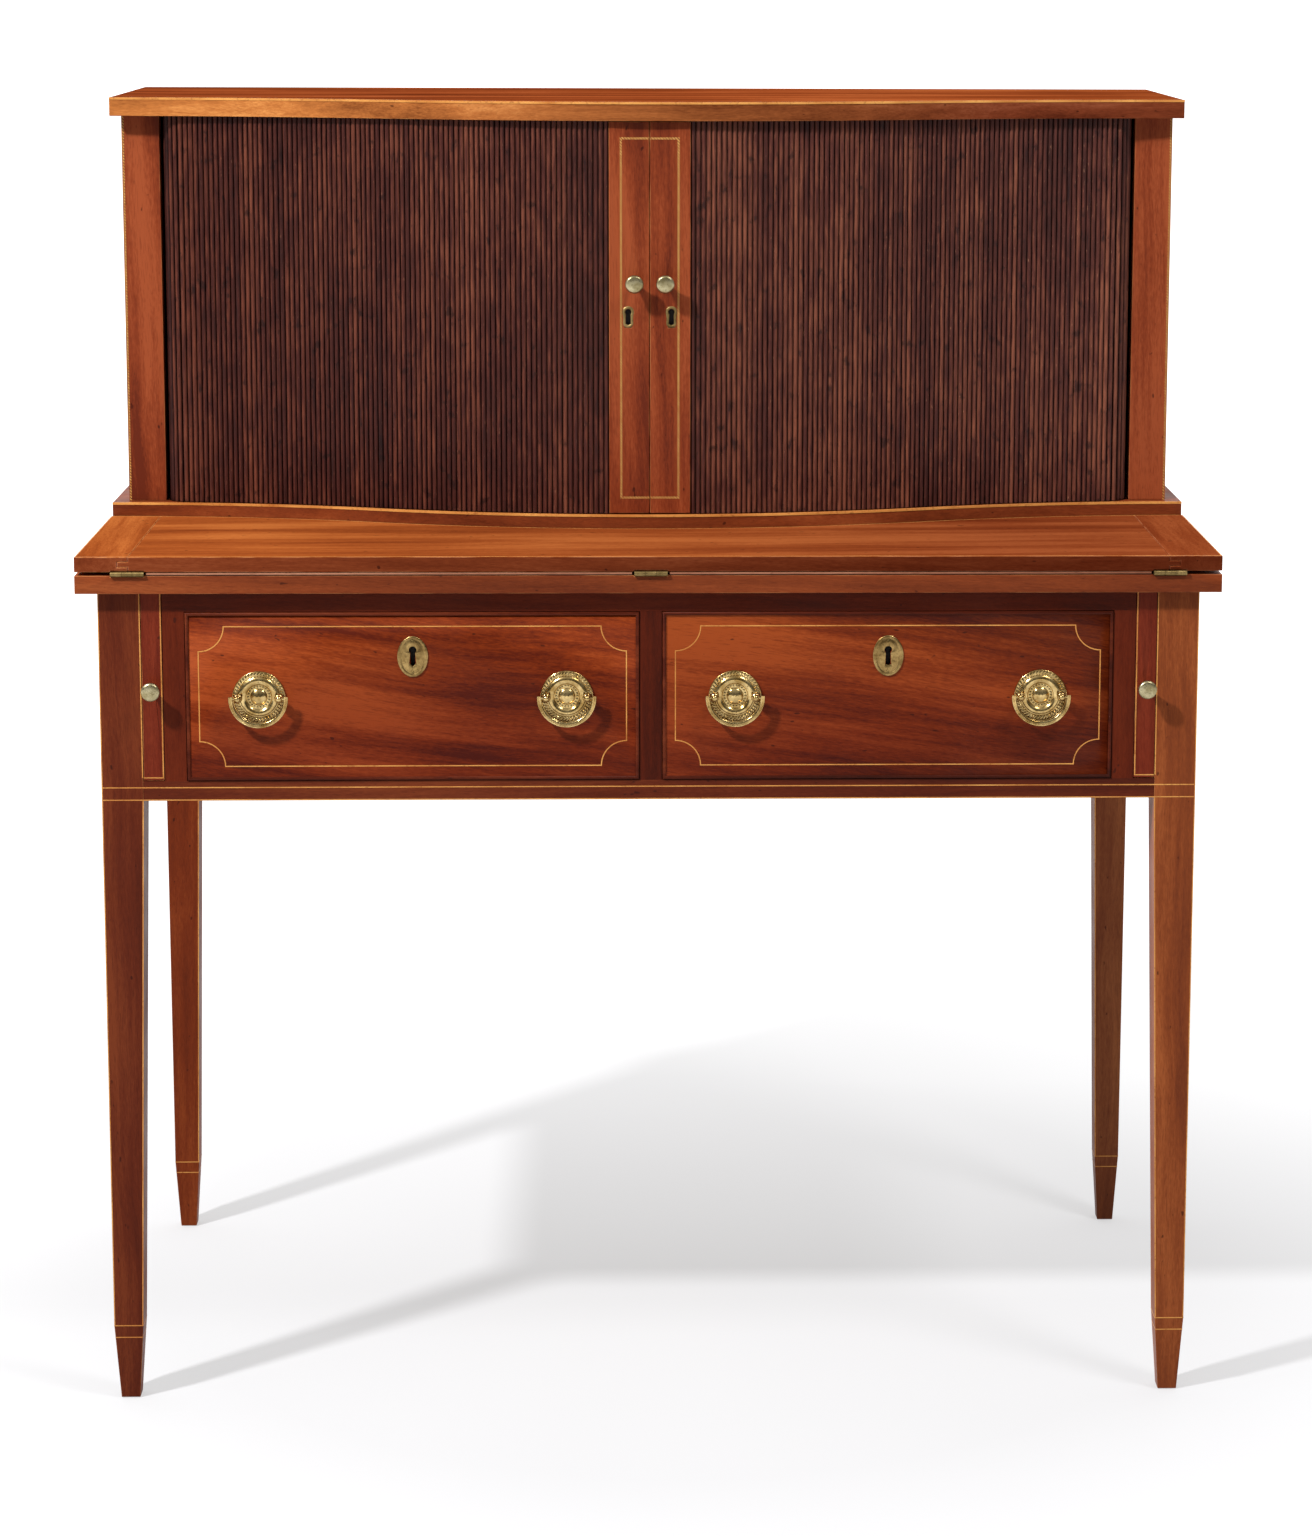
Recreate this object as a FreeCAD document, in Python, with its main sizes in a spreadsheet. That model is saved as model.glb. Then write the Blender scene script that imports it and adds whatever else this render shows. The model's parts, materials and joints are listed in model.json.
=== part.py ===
import FreeCAD, Part
import math
import operator
import os

import Sketcher

# A tambour writing desk: a table with two drawers and pull-out leaf supports, a writing leaf
# that folds forward on butt hinges, and a low serpentine-fronted case closed by two tambours.
# X runs to the right, Y to the back and Z up from the floor, in millimetres.

SIZES = (
    ("case_width", 934.0, "over the outer faces of the legs"),
    ("case_depth", 475.0, "front face of the front legs to rear face of the rear legs"),
    ("case_height", 714.2, "floor to the underside of the bed board"),
    ("knee_height", 534.0, "floor to the lower edge of the case"),
    ("front_leg_width", 35.5, "square of the front legs above their taper"),
    ("rear_leg_width", 33.0, "square of the rear legs above their taper"),
    ("cuff_height", 66.9, "floor to the foot of the taper"),
    ("front_cuff_width", 25.3, "front leg at the cuff"),
    ("rear_cuff_width", 23.4, "rear leg at the cuff"),
    ("front_foot_width", 16.4, "front leg at the floor"),
    ("rear_foot_width", 15.2, "rear leg at the floor"),
    ("rail_height", 17.0, "height of the front rails, runners and kickers"),
    ("rail_depth", 46.0, "front rails, front to back"),
    ("divider_width", 18.6, "stile between the drawers"),
    ("partition_width", 18.4, "board between a drawer and its leaf support"),
    ("panel_thickness", 16.0, "lower side panels"),
    ("back_thickness", 10.0, "lower back panel"),
    ("runner_width", 60.0, "drawer runners and kickers"),
    ("guide_height", 28.0, "drawer and support guides"),
    ("tenon_length", 12.0, "rail and panel tenons"),
    ("tenon_shoulder", 3.0, "rail or panel above and below its tenons"),
    ("side_overhang", 17.5, "bed board and leaf beyond the legs at each side"),
    ("front_overhang", 10.0, "bed board and leaf in front of the legs"),
    ("back_overhang", 6.0, "bed board and top behind the rear legs"),
    ("bed_thickness", 15.5, "bed board"),
    ("leaf_thickness", 13.0, "writing leaf"),
    ("fold_gap", 3.0, "between the bed board and the folded leaf"),
    ("leaf_gap", 1.0, "between the folded leaf and the upper case"),
    ("breadboard_width", 45.0, "cross-grain end of the leaf"),
    ("tongue_length", 9.0, "tongue of the leaf in its ends"),
    ("tongue_thickness", 4.5, "tongue of the leaf in its ends"),
    ("hinge_length", 28.0, "leaf hinges, along the fold"),
    ("hinge_inset", 44.5, "end of the bed board to the middle of an outer hinge"),
    ("hinge_reach", 24.0, "hinge plate behind the pin"),
    ("hinge_plate", 1.0, "thickness of a hinge plate"),
    ("knuckle_radius", 2.2, "outside of a hinge knuckle"),
    ("pin_radius", 0.8, "hinge pin"),
    ("pin_clearance", 0.05, "between a pin and the knuckle that turns on it"),
    ("hinge_clearance", 0.3, "round and between the knuckles"),
    ("pin_advance", 0.9, "hinge pin in front of the bed board"),
    ("strip_depth", 8.0, "filling strip in the fold"),
    ("strip_gap", 2.0, "between a filling strip and a hinge"),
    ("strip_clearance", 0.6, "between a filling strip and the folded leaf"),
    ("loper_width", 17.4, "leaf support"),
    ("loper_clearance", 0.6, "beside and above a leaf support"),
    ("loper_room", 35.0, "behind a leaf support"),
    ("loper_knob_drop", 1.7, "middle of the end of a leaf support down to its knob"),
    ("drawer_clearance", 0.6, "round a drawer front"),
    ("drawer_front", 18.0, "thickness of a drawer front"),
    ("drawer_room", 25.0, "behind a drawer"),
    ("drawer_lap", 8.0, "drawer front in front of the dovetails"),
    ("tail_gap", 13.4, "between two dovetails at their wide ends"),
    ("tail_flare", 4.0, "narrowing of each side of a dovetail"),
    ("drawer_side", 9.0, "thickness of drawer sides and backs"),
    ("drawer_bottom", 6.0, "thickness of a drawer bottom"),
    ("bottom_groove", 4.0, "depth of the grooves that hold a drawer bottom"),
    ("bottom_lift", 8.0, "drawer bottom above the lower edge of the drawer"),
    ("side_drop", 8.0, "drawer sides below the upper edge of the front"),
    ("bead_width", 3.0, "cock bead seen from the front"),
    ("bead_depth", 9.0, "cock bead, front to back"),
    ("bead_reach", 1.5, "cock bead in front of the drawer front"),
    ("pull_drop", 0.3, "middle of a drawer front down to the posts of its pulls"),
    ("pull_inset", 61.6, "side of a drawer to the middle of a pull"),
    ("plate_radius", 22.5, "back plate of a pull"),
    ("plate_thickness", 0.9, "back plate of a pull"),
    ("plate_rim", 1.2, "width of the rim of a back plate"),
    ("rim_rise", 1.7, "rim of a back plate above the wood"),
    ("ring_outer", 16.0, "outer foot of the raised ring of a back plate"),
    ("ring_inner", 9.5, "inner foot of the raised ring of a back plate"),
    ("ring_rise", 2.6, "raised ring of a back plate above the wood"),
    ("boss_radius", 5.3, "button at the middle of a back plate"),
    ("boss_rise", 4.0, "button of a back plate above the wood"),
    ("post_spread", 17.4, "centre of a back plate to a post"),
    ("post_radius", 4.0, "ball of a post"),
    ("post_reach", 8.5, "ball of a post in front of the drawer"),
    ("stem_radius", 1.9, "stem and bolt of a post"),
    ("nut_radius", 4.5, "nut of a post, over its corners"),
    ("nut_thickness", 3.0, "nut of a post"),
    ("bail_radius", 25.2, "outside of a bail"),
    ("bail_end", 3.4, "width of a bail at its ends"),
    ("bail_swell", 0.6, "widening of a bail towards its middle"),
    ("bail_thickness", 2.6, "bail, front to back"),
    ("bail_pin", 1.2, "radius of the pins that the bail turns on"),
    ("lock_inset", 38.1, "upper edge of a drawer to the middle of its escutcheon"),
    ("escutcheon_width", 26.0, "oval drawer escutcheon"),
    ("escutcheon_height", 35.0, "oval drawer escutcheon"),
    ("escutcheon_thickness", 1.4, "oval drawer escutcheon"),
    ("keyhole_radius", 3.3, "round head of a drawer keyhole"),
    ("keyhole_slot", 4.2, "width of the keyhole below its head"),
    ("keyhole_height", 17.6, "drawer keyhole, top to bottom"),
    ("lock_width", 50.0, "drawer lock case"),
    ("lock_drop", 54.0, "drawer lock case, top to bottom"),
    ("lock_depth", 10.0, "drawer lock case, front to back"),
    ("lock_wall", 1.6, "plates of a drawer lock case"),
    ("bolt_width", 16.0, "drawer lock bolt"),
    ("bolt_thickness", 5.0, "drawer lock bolt"),
    ("bolt_length", 26.0, "drawer lock bolt, top to bottom"),
    ("bolt_clearance", 0.4, "round a lock bolt"),
    ("bolt_throw", 7.0, "travel of a lock bolt"),
    ("knob_reach", 17.0, "knob in front of the wood that carries it"),
    ("knob_radius", 8.0, "head of a knob"),
    ("knob_face", 5.4, "radius of the flat face of a knob"),
    ("knob_bevel", 2.2, "bevel between the face and the rim of a knob"),
    ("knob_rim", 1.8, "rim of a knob"),
    ("knob_foot", 5.0, "radius of the foot of a knob"),
    ("foot_thickness", 1.7, "foot of a knob"),
    ("knob_neck", 2.9, "radius of the neck of a knob"),
    ("neck_reach", 6.6, "neck of a knob in front of the wood"),
    ("knob_shank", 2.0, "radius of a knob's screw"),
    ("shank_length", 10.0, "knob screw in the wood"),
    ("base_inset", 1.5, "ends of the base board inside those of the bed board"),
    ("base_thickness", 28.1, "base board of the upper case"),
    ("base_setback", 225.5, "front of the legs to the ends of the serpentine front"),
    ("bulge", 79.0, "rise of the serpentine front at its middle"),
    ("upper_height", 345.8, "between the base board and the top board"),
    ("top_inset", 4.8, "ends of the top board inside those of the base board"),
    ("top_thickness", 16.6, "top board"),
    ("pilaster_inset", 13.3, "outer edges of the pilasters inside the ends of the base board"),
    ("pilaster_width", 33.6, "pilaster"),
    ("pilaster_thickness", 14.0, "pilaster, front to back"),
    ("pilaster_setback", 14.0, "pilaster behind the ends of the base board"),
    ("upper_side", 12.0, "thickness of the upper sides"),
    ("upper_back", 8.0, "thickness of the upper back"),
    ("reed_pitch", 4.55, "tambour reeds, centre to centre"),
    ("reed_width", 4.3, "one tambour reed"),
    ("reed_thickness", 3.8, "tambour reed, front to back"),
    ("reed_shoulder", 2.1, "square sides of a reed behind its rounded front"),
    ("canvas_thickness", 0.6, "cloth glued to the back of the reeds"),
    ("lip_width", 5.5, "base board in front of the tambour groove"),
    ("groove_width", 5.4, "tambour groove"),
    ("groove_depth", 6.0, "tambour groove"),
    ("groove_clearance", 1.0, "end of a reed above the floor of its groove"),
    ("corner_radius", 18.0, "turns of the tambour groove"),
    ("side_run", 4.5, "pilaster to the middle of the groove beside it"),
    ("rear_run", 190.0, "tambour groove along the back"),
    ("curtain_tail", 28.0, "closed tambour beyond the turn"),
    ("stile_width", 35.4, "lead stile of a tambour"),
    ("stile_thickness", 13.0, "lead stile of a tambour"),
    ("meeting_gap", 0.6, "between the closed lead stiles"),
    ("stile_clearance", 0.6, "above and below a lead stile"),
    ("lead_knob_rise", 204.5, "base board to the knobs of the lead stiles"),
    ("lead_knob_inset", 13.5, "centre of the desk to the knobs of the lead stiles"),
    ("lead_lock_rise", 174.5, "base board to the middle of the lead stile keyholes"),
    ("lead_lock_inset", 19.0, "centre of the desk to the lead stile keyholes"),
    ("lead_escutcheon_width", 10.0, "keyhole plate of a lead stile"),
    ("lead_escutcheon_height", 18.6, "keyhole plate of a lead stile"),
    ("lead_escutcheon_slot", 6.0, "width of a lead stile's keyhole plate below its head"),
    ("lead_key_radius", 2.7, "round head of a lead stile keyhole"),
    ("lead_key_slot", 3.8, "width of a lead stile keyhole below its head"),
    ("lead_key_height", 14.2, "lead stile keyhole, top to bottom"),
    ("lead_case_width", 24.0, "lock case of a lead stile"),
    ("lead_case_height", 48.0, "lock case of a lead stile, top to bottom"),
    ("lead_case_depth", 8.0, "lock case of a lead stile, front to back"),
    ("inner_side", 8.0, "boards that keep the tambours from the pigeonholes"),
    ("inner_recess", 2.5, "pilasters to the front of the pigeonholes"),
    ("inner_gap", 4.0, "between the tambour and the boards behind it"),
    ("shelf_height", 130.0, "base board to the shelf of the pigeonholes"),
    ("shelf_thickness", 8.0, "shelf of the pigeonholes"),
    ("divider_thickness", 6.0, "upright boards of the pigeonholes"),
    ("divider_recess", 12.0, "upright boards behind the front of the shelf"),
)
UPPER_PIGEONHOLES = 6
LOWER_PIGEONHOLES = 3
DOVETAILS = 4
REED_FACETS = 4
OVAL_END = 0.4  # radius of the ends of an oval plate, as a share of its width
OCTAGON = math.tan(math.pi / 8)
X_AXIS, Y_AXIS = range(2)
SIDES = (("left", -1), ("right", 1))
SIGNS = {"+": operator.add, "-": operator.sub, "*": operator.mul, "/": operator.truediv}


class Size:
    """A length in millimetres, with the spreadsheet formula that gives it."""

    def __init__(self, value, formula):
        self.value = value
        self.formula = formula

    def __add__(self, other):
        return combine(self, "+", other)

    def __radd__(self, other):
        return combine(other, "+", self)

    def __sub__(self, other):
        return combine(self, "-", other)

    def __rsub__(self, other):
        return combine(other, "-", self)

    def __mul__(self, other):
        return combine(self, "*", other)

    def __rmul__(self, other):
        return combine(other, "*", self)

    def __truediv__(self, other):
        return combine(self, "/", other)

    def __neg__(self):
        return combine(0, "-", self)

    def root(self):
        return Size(math.sqrt(self.value), f"sqrt({self.formula})")


def as_size(number):
    """Turn a plain number into a Size."""
    return number if isinstance(number, Size) else Size(number, f"({number})")


def combine(left, sign, right):
    """Join two sizes with an arithmetic sign, in value and in formula."""
    left = as_size(left)
    right = as_size(right)
    value = SIGNS[sign](left.value, right.value)
    return Size(value, f"({left.formula} {sign} {right.formula})")


class Sheet:
    """The driving dimensions, each readable by its alias."""

    def __init__(self, document, rows):
        sheet = document.addObject("Spreadsheet::Sheet", "Sizes")
        for row, (alias, value, meaning) in enumerate(rows, start=1):
            sheet.set(f"A{row}", meaning)
            sheet.set(f"B{row}", str(value))
            sheet.setAlias(f"B{row}", alias)
            setattr(self, alias, Size(value, f"Sizes.{alias}"))
        document.recompute()


doc = FreeCAD.newDocument("TambourDesk")
S = Sheet(doc, SIZES)
nodes = []

# Places that several pieces share, in the part's own frame.
front = (S.knob_reach - S.case_depth - S.back_overhang) / 2
case_half = S.case_width / 2
rail_top = S.knee_height + S.rail_height
kicker_bottom = S.case_height - S.rail_height
leg_inner = case_half - S.front_leg_width
panel_inner = case_half - S.panel_thickness
loper_outer = leg_inner - S.loper_clearance
loper_inner = loper_outer - S.loper_width
partition_outer = loper_inner - S.loper_clearance
partition_inner = partition_outer - S.partition_width
back_front = S.case_depth - S.back_thickness
bed_half = case_half + S.side_overhang
bed_top = S.case_height + S.bed_thickness
leaf_bottom = bed_top + S.fold_gap
leaf_top = leaf_bottom + S.leaf_thickness
back_edge = S.case_depth + S.back_overhang
base_half = bed_half - S.base_inset
top_half = base_half - S.top_inset
base_top = bed_top + S.base_thickness
ceiling = base_top + S.upper_height
lead_knob_height = base_top + S.lead_knob_rise
lead_lock_height = base_top + S.lead_lock_rise
pin_height = bed_top + S.fold_gap / 2
pin_setback = -S.front_overhang - S.pin_advance
hinge_spread = bed_half - S.hinge_inset
hinge_places = (-hinge_spread, as_size(0), hinge_spread)
curtain_depth = S.reed_thickness + S.canvas_thickness
groove_setback = S.lip_width + S.groove_width / 2
curtain_front = S.base_setback - S.bulge + groove_setback - curtain_depth / 2
upper_half = base_half - S.pilaster_inset
pilaster_inner = upper_half - S.pilaster_width
pilaster_front = S.base_setback + S.pilaster_setback
pilaster_back = pilaster_front + S.pilaster_thickness
side_inner = upper_half - S.upper_side
upper_back_front = S.case_depth - S.upper_back
drawer_low = rail_top + S.drawer_clearance
drawer_high = kicker_bottom - S.drawer_clearance
drawer_inner = S.divider_width / 2 + S.drawer_clearance
drawer_outer = partition_inner - S.drawer_clearance
drawer_middle = (drawer_inner + drawer_outer) / 2
drawer_half = (drawer_outer - drawer_inner) / 2
drawer_back = back_front - S.drawer_room
pull_places = (("inner", drawer_inner + S.pull_inset), ("outer", drawer_outer - S.pull_inset))
pull_height = (drawer_low + drawer_high) / 2 - S.pull_drop
lock_height = drawer_high - S.lock_inset
lock_front = S.drawer_front - S.lock_depth
bolt_front = lock_front + S.lock_wall + S.bolt_clearance
bolt_back = bolt_front + S.bolt_thickness


def bind(item, name, size):
    """Drive one property of an object from the sheet."""
    item.setExpression(name, as_size(size).formula)


def place(item, x, y, z):
    """Put an object at X and Z, and at Y behind the front face of the legs."""
    for axis, size in (("x", x), ("y", front + y), ("z", z)):
        bind(item, f"Placement.Base.{axis}", size)


def keep(item, label):
    """Keep an object as one named piece of the desk."""
    item.Label = label
    nodes.append(item)
    return item


def across(side, inner, outer):
    """The X range between two distances from the centre, on one side."""
    if side > 0:
        return (as_size(inner), as_size(outer))
    return (-as_size(outer), -as_size(inner))


def board(name, x, y, z):
    """A square-edged board between two X, two Y and two Z places."""
    box = doc.addObject("Part::Box", name)
    bind(box, "Length", x[1] - x[0])
    bind(box, "Width", y[1] - y[0])
    bind(box, "Height", z[1] - z[0])
    place(box, x[0], y[0], z[0])
    return box


def rod(name, x, y, z, radius):
    """A round bar along X between two X places."""
    bar = doc.addObject("Part::Cylinder", name)
    bar.Placement = FreeCAD.Placement(FreeCAD.Vector(), FreeCAD.Rotation(FreeCAD.Vector(0, 1, 0), 90))
    bind(bar, "Radius", radius)
    bind(bar, "Height", x[1] - x[0])
    place(bar, x[0], y, z)
    return bar


def group(name, pieces):
    """Several separate solids in one object."""
    compound = doc.addObject("Part::Compound", name)
    compound.Links = pieces
    return compound


def cut(name, base, tools):
    """Take tools away from a base."""
    result = doc.addObject("Part::Cut", name)
    result.Base = base
    result.Tool = tools[0] if len(tools) == 1 else group(f"{name}_tools", tools)
    return result


def fuse(name, pieces):
    """Join pieces into one solid."""
    result = doc.addObject("Part::MultiFuse", name)
    result.Shapes = pieces
    return result


def new_body(name, x, y, z):
    """An empty body at a place."""
    body = doc.addObject("PartDesign::Body", name)
    place(body, x, y, z)
    return body


def new_sketch(body, plane, offset=0):
    """A sketch on one of the body's origin planes, moved along the plane's normal."""
    sketch = body.newObject("Sketcher::SketchObject", "Sketch")
    support = [item for item in body.Origin.OriginFeatures if item.Role == plane]
    sketch.AttachmentSupport = [(support[0], "")]
    sketch.MapMode = "FlatFace"
    bind(sketch, "AttachmentOffset.Base.z", offset)
    return sketch


def fix(sketch, geometry, end, x, y):
    """Hold the end of an edge at a place in the sketch."""
    for kind, axis, size in (("DistanceX", -2, x), ("DistanceY", -1, y)):
        size = as_size(size)
        if size.value == 0:
            sketch.addConstraint(Sketcher.Constraint("PointOnObject", geometry, end, axis))
            continue
        index = sketch.addConstraint(Sketcher.Constraint(kind, -1, 1, geometry, end, size.value))
        bind(sketch, f"Constraints[{index}]", size)


def arc_edge(start, end, radius):
    """An arc from start to end, turning left where the radius is positive."""
    turn = 1 if radius.value > 0 else -1
    reach = abs(radius.value)
    middle = (start + end) * 0.5
    run = end - start
    left = FreeCAD.Vector(-run.y, run.x, 0).normalize()
    height = math.sqrt(max(reach**2 - (run.Length / 2) ** 2, 0.0))
    centre = middle + left * (height * turn)
    first, last = (start, end) if turn > 0 else (end, start)
    angles = [math.atan2(point.y - centre.y, point.x - centre.x) for point in (first, last)]
    circle = Part.Circle(centre, FreeCAD.Vector(0, 0, 1), reach)
    return Part.ArcOfCircle(circle, angles[0], angles[1])


def outline(sketch, runs):
    """Draw a closed outline. Each run is the X and Y that it ends at, with a radius for an arc:
    positive where the arc turns left."""
    points = [FreeCAD.Vector(as_size(run[0]).value, as_size(run[1]).value, 0) for run in runs]
    first = sketch.GeometryCount
    ends = []
    for index, run in enumerate(runs):
        start = points[index - 1]
        if len(run) == 2:
            sketch.addGeometry(Part.LineSegment(start, points[index]))
            ends.append((1, 2))
        else:
            radius = as_size(run[2])
            sketch.addGeometry(arc_edge(start, points[index], radius))
            ends.append((1, 2) if radius.value > 0 else (2, 1))
    for index, run in enumerate(runs):
        after = (index + 1) % len(runs)
        meeting = (first + index, ends[index][1], first + after, ends[after][0])
        sketch.addConstraint(Sketcher.Constraint("Coincident", *meeting))
        fix(sketch, first + index, ends[index][1], run[0], run[1])
        if len(run) == 3:
            radius = as_size(run[2])
            reach = radius if radius.value > 0 else -radius
            bound = sketch.addConstraint(Sketcher.Constraint("Radius", first + index, reach.value))
            bind(sketch, f"Constraints[{bound}]", reach)
    return sketch


def rectangle(sketch, x, y):
    """Draw a rectangle between two X and two Y places."""
    return outline(sketch, ((x[0], y[0]), (x[1], y[0]), (x[1], y[1]), (x[0], y[1])))


def circle(sketch, x, y, radius):
    """Draw a circle."""
    centre = FreeCAD.Vector(as_size(x).value, as_size(y).value, 0)
    radius = as_size(radius)
    index = sketch.addGeometry(Part.Circle(centre, FreeCAD.Vector(0, 0, 1), radius.value))
    fix(sketch, index, 3, x, y)
    bound = sketch.addConstraint(Sketcher.Constraint("Radius", index, radius.value))
    bind(sketch, f"Constraints[{bound}]", radius)
    return sketch


def pad(body, sketch, length, reverse=False):
    """Raise a sketch along its normal, or against it."""
    feature = body.newObject("PartDesign::Pad", "Pad")
    feature.Profile = sketch
    feature.Reversed = reverse
    bind(feature, "Length", length)
    return feature


def pocket(body, sketch, depth, reverse=False):
    """Sink a sketch against its normal, or along it."""
    feature = body.newObject("PartDesign::Pocket", "Pocket")
    feature.Profile = sketch
    feature.Reversed = reverse
    bind(feature, "Length", depth)
    return feature


def turn(body, sketch):
    """Revolve a sketch about its own vertical axis."""
    feature = body.newObject("PartDesign::Revolution", "Revolution")
    feature.Profile = sketch
    feature.ReferenceAxis = (sketch, ["V_Axis"])
    feature.Angle = 360
    return feature


def loft(body, lower, upper):
    """Join two sketches with flat faces."""
    feature = body.newObject("PartDesign::AdditiveLoft", "Loft")
    feature.Profile = lower
    feature.Sections = [upper]
    feature.Ruled = True
    return feature


# The table.


def make_leg(name, side, row, squares, mortises):
    """A square leg: its inner faces taper to a cuff, and the foot below tapers all round."""
    away = 0 if row > 0 else S.case_depth
    width, cuff, foot = squares
    body = new_body(f"{name}_blank", case_half * side, away, as_size(0))
    sections = []
    for height, square, inset in (
        (as_size(0), foot, (cuff - foot) / 2),
        (S.cuff_height, cuff, as_size(0)),
        (S.knee_height, width, as_size(0)),
    ):
        sketch = new_sketch(body, "XY_Plane", height)
        x = (inset * -side, (inset + square) * -side)
        y = (inset * row, (inset + square) * row)
        sections.append(rectangle(sketch, x, y))
    pad(body, sections[2], S.case_height - S.knee_height)
    loft(body, sections[1], sections[2])
    loft(body, sections[0], sections[1])
    keep(cut(name, body, mortises), name)


def make_core(name, spans, run, thin):
    """The tenons of a board with the wood between them: a third of its thickness, and longer."""
    core = []
    for axis, (low, high) in enumerate(spans):
        third = (high - low) / 3
        if axis == run:
            core.append((low - S.tenon_length, high + S.tenon_length))
        elif axis == thin:
            core.append((low + third, high - third))
        else:
            core.append((low + S.tenon_shoulder, high - S.tenon_shoulder))
    return board(f"{name}_core", *core)


def tenoned(name, spans, run, thin):
    """A board with a tenon at each end, and the core that its mortises are cut with."""
    core = make_core(name, spans, run, thin)
    keep(fuse(name, [board(f"{name}_board", *spans), core]), name)
    return core


def make_table():
    """Legs, panels, rails, partitions and runners."""
    high = (S.knee_height, S.case_height)
    rear_inner = case_half - S.rear_leg_width
    rails = (as_size(0), S.rail_depth)
    back_spans = ((-rear_inner, rear_inner), (back_front, S.case_depth), high)
    back_core = tenoned("back_panel", back_spans, X_AXIS, Y_AXIS)
    rail_spans = ((-leg_inner, leg_inner), rails, (S.knee_height, rail_top))
    rail_core = tenoned("bottom_rail", rail_spans, X_AXIS, Y_AXIS)
    for label, side in SIDES:
        along = (S.front_leg_width, S.case_depth - S.rear_leg_width)
        panel_spans = (across(side, panel_inner, case_half), along, high)
        panel_core = tenoned(f"side_panel_{label}", panel_spans, Y_AXIS, X_AXIS)
        front_leg = (S.front_leg_width, S.front_cuff_width, S.front_foot_width)
        rear_leg = (S.rear_leg_width, S.rear_cuff_width, S.rear_foot_width)
        make_leg(f"leg_front_{label}", side, 1, front_leg, [panel_core, rail_core])
        make_leg(f"leg_rear_{label}", side, -1, rear_leg, [panel_core, back_core])
    above = (kicker_bottom, S.case_height)
    upper = board("top_rail_blank", (-partition_outer, partition_outer), rails, above)
    keep(cut("top_rail", upper, [bolt_mortise(label, side) for label, side in SIDES]), "top_rail")
    middle = S.divider_width / 2
    keep(board("drawer_divider", (-middle, middle), rails, (rail_top, kicker_bottom)), "drawer_divider")
    partitions = [
        board(
            f"partition_{label}",
            across(side, partition_inner, partition_outer),
            (as_size(0), back_front),
            (rail_top, kicker_bottom),
        )
        for label, side in SIDES
    ]
    keep(group("loper_partitions", partitions), "loper_partitions")
    keep(group("drawer_runners", make_runners()), "drawer_runners")


def bolt_mortise(label, side):
    """The mortise in the top rail for a drawer's lock bolt."""
    half = S.bolt_width / 2 + S.bolt_clearance
    centre = drawer_middle * side
    depth = (bolt_front - S.bolt_clearance, bolt_back + S.bolt_clearance)
    height = (kicker_bottom, kicker_bottom + S.bolt_throw + S.bolt_clearance)
    return board(f"bolt_mortise_{label}", (centre - half, centre + half), depth, height)


def make_runners():
    """Runners under the drawers and supports, kickers above, and guides beside them."""
    behind = (S.rail_depth, back_front)
    low = (S.knee_height, rail_top)
    high = (kicker_bottom, S.case_height)
    half_runner = S.runner_width / 2
    half_divider = S.divider_width / 2
    guide = (rail_top, rail_top + S.guide_height)
    pieces = [
        board("runner_centre", (-half_runner, half_runner), behind, low),
        board("kicker_centre", (-half_runner, half_runner), behind, high),
        board("guide_centre", (-half_divider, half_divider), behind, guide),
    ]
    for label, side in SIDES:
        kicker = across(side, partition_outer - half_runner, partition_outer)
        pieces += [
            board(f"runner_{label}", across(side, leg_inner - S.runner_width, leg_inner), behind, low),
            board(f"kicker_{label}", kicker, behind, high),
            board(
                f"guide_{label}",
                across(side, leg_inner, panel_inner),
                (S.front_leg_width, S.case_depth - S.rear_leg_width),
                guide,
            ),
        ]
    return pieces


# The bed board, the writing leaf and their hinges.


def hinge_notches(name, height):
    """Notches along a front edge for the hinge knuckles."""
    half = S.hinge_length / 2 + S.hinge_clearance
    reach = S.knuckle_radius + S.hinge_clearance + pin_setback
    return [
        board(f"{name}_notch_{index}", (place_x - half, place_x + half), (-S.front_overhang, reach), height)
        for index, place_x in enumerate(hinge_places)
    ]


def make_bed():
    """The fixed board under the leaf, with the strips that fill the fold."""
    blank = board(
        "bed_blank", (-bed_half, bed_half), (-S.front_overhang, back_edge), (S.case_height, bed_top)
    )
    depth = S.knuckle_radius + S.hinge_clearance
    keep(cut("bed_board", blank, hinge_notches("bed", (pin_height - depth, bed_top))), "bed_board")
    strip_top = leaf_bottom - S.strip_clearance
    clear = S.hinge_length / 2 + S.strip_gap
    strips = [
        board(
            f"strip_{label}",
            across(side, clear, hinge_spread - clear),
            (-S.front_overhang, S.strip_depth - S.front_overhang),
            (bed_top, strip_top),
        )
        for label, side in SIDES
    ]
    keep(group("fold_strips", strips), "fold_strips")


def hinge_rod(name, x, radius):
    """A round piece or bore of a hinge, on its pin's line."""
    return rod(name, x, pin_setback, pin_height, radius)


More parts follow.
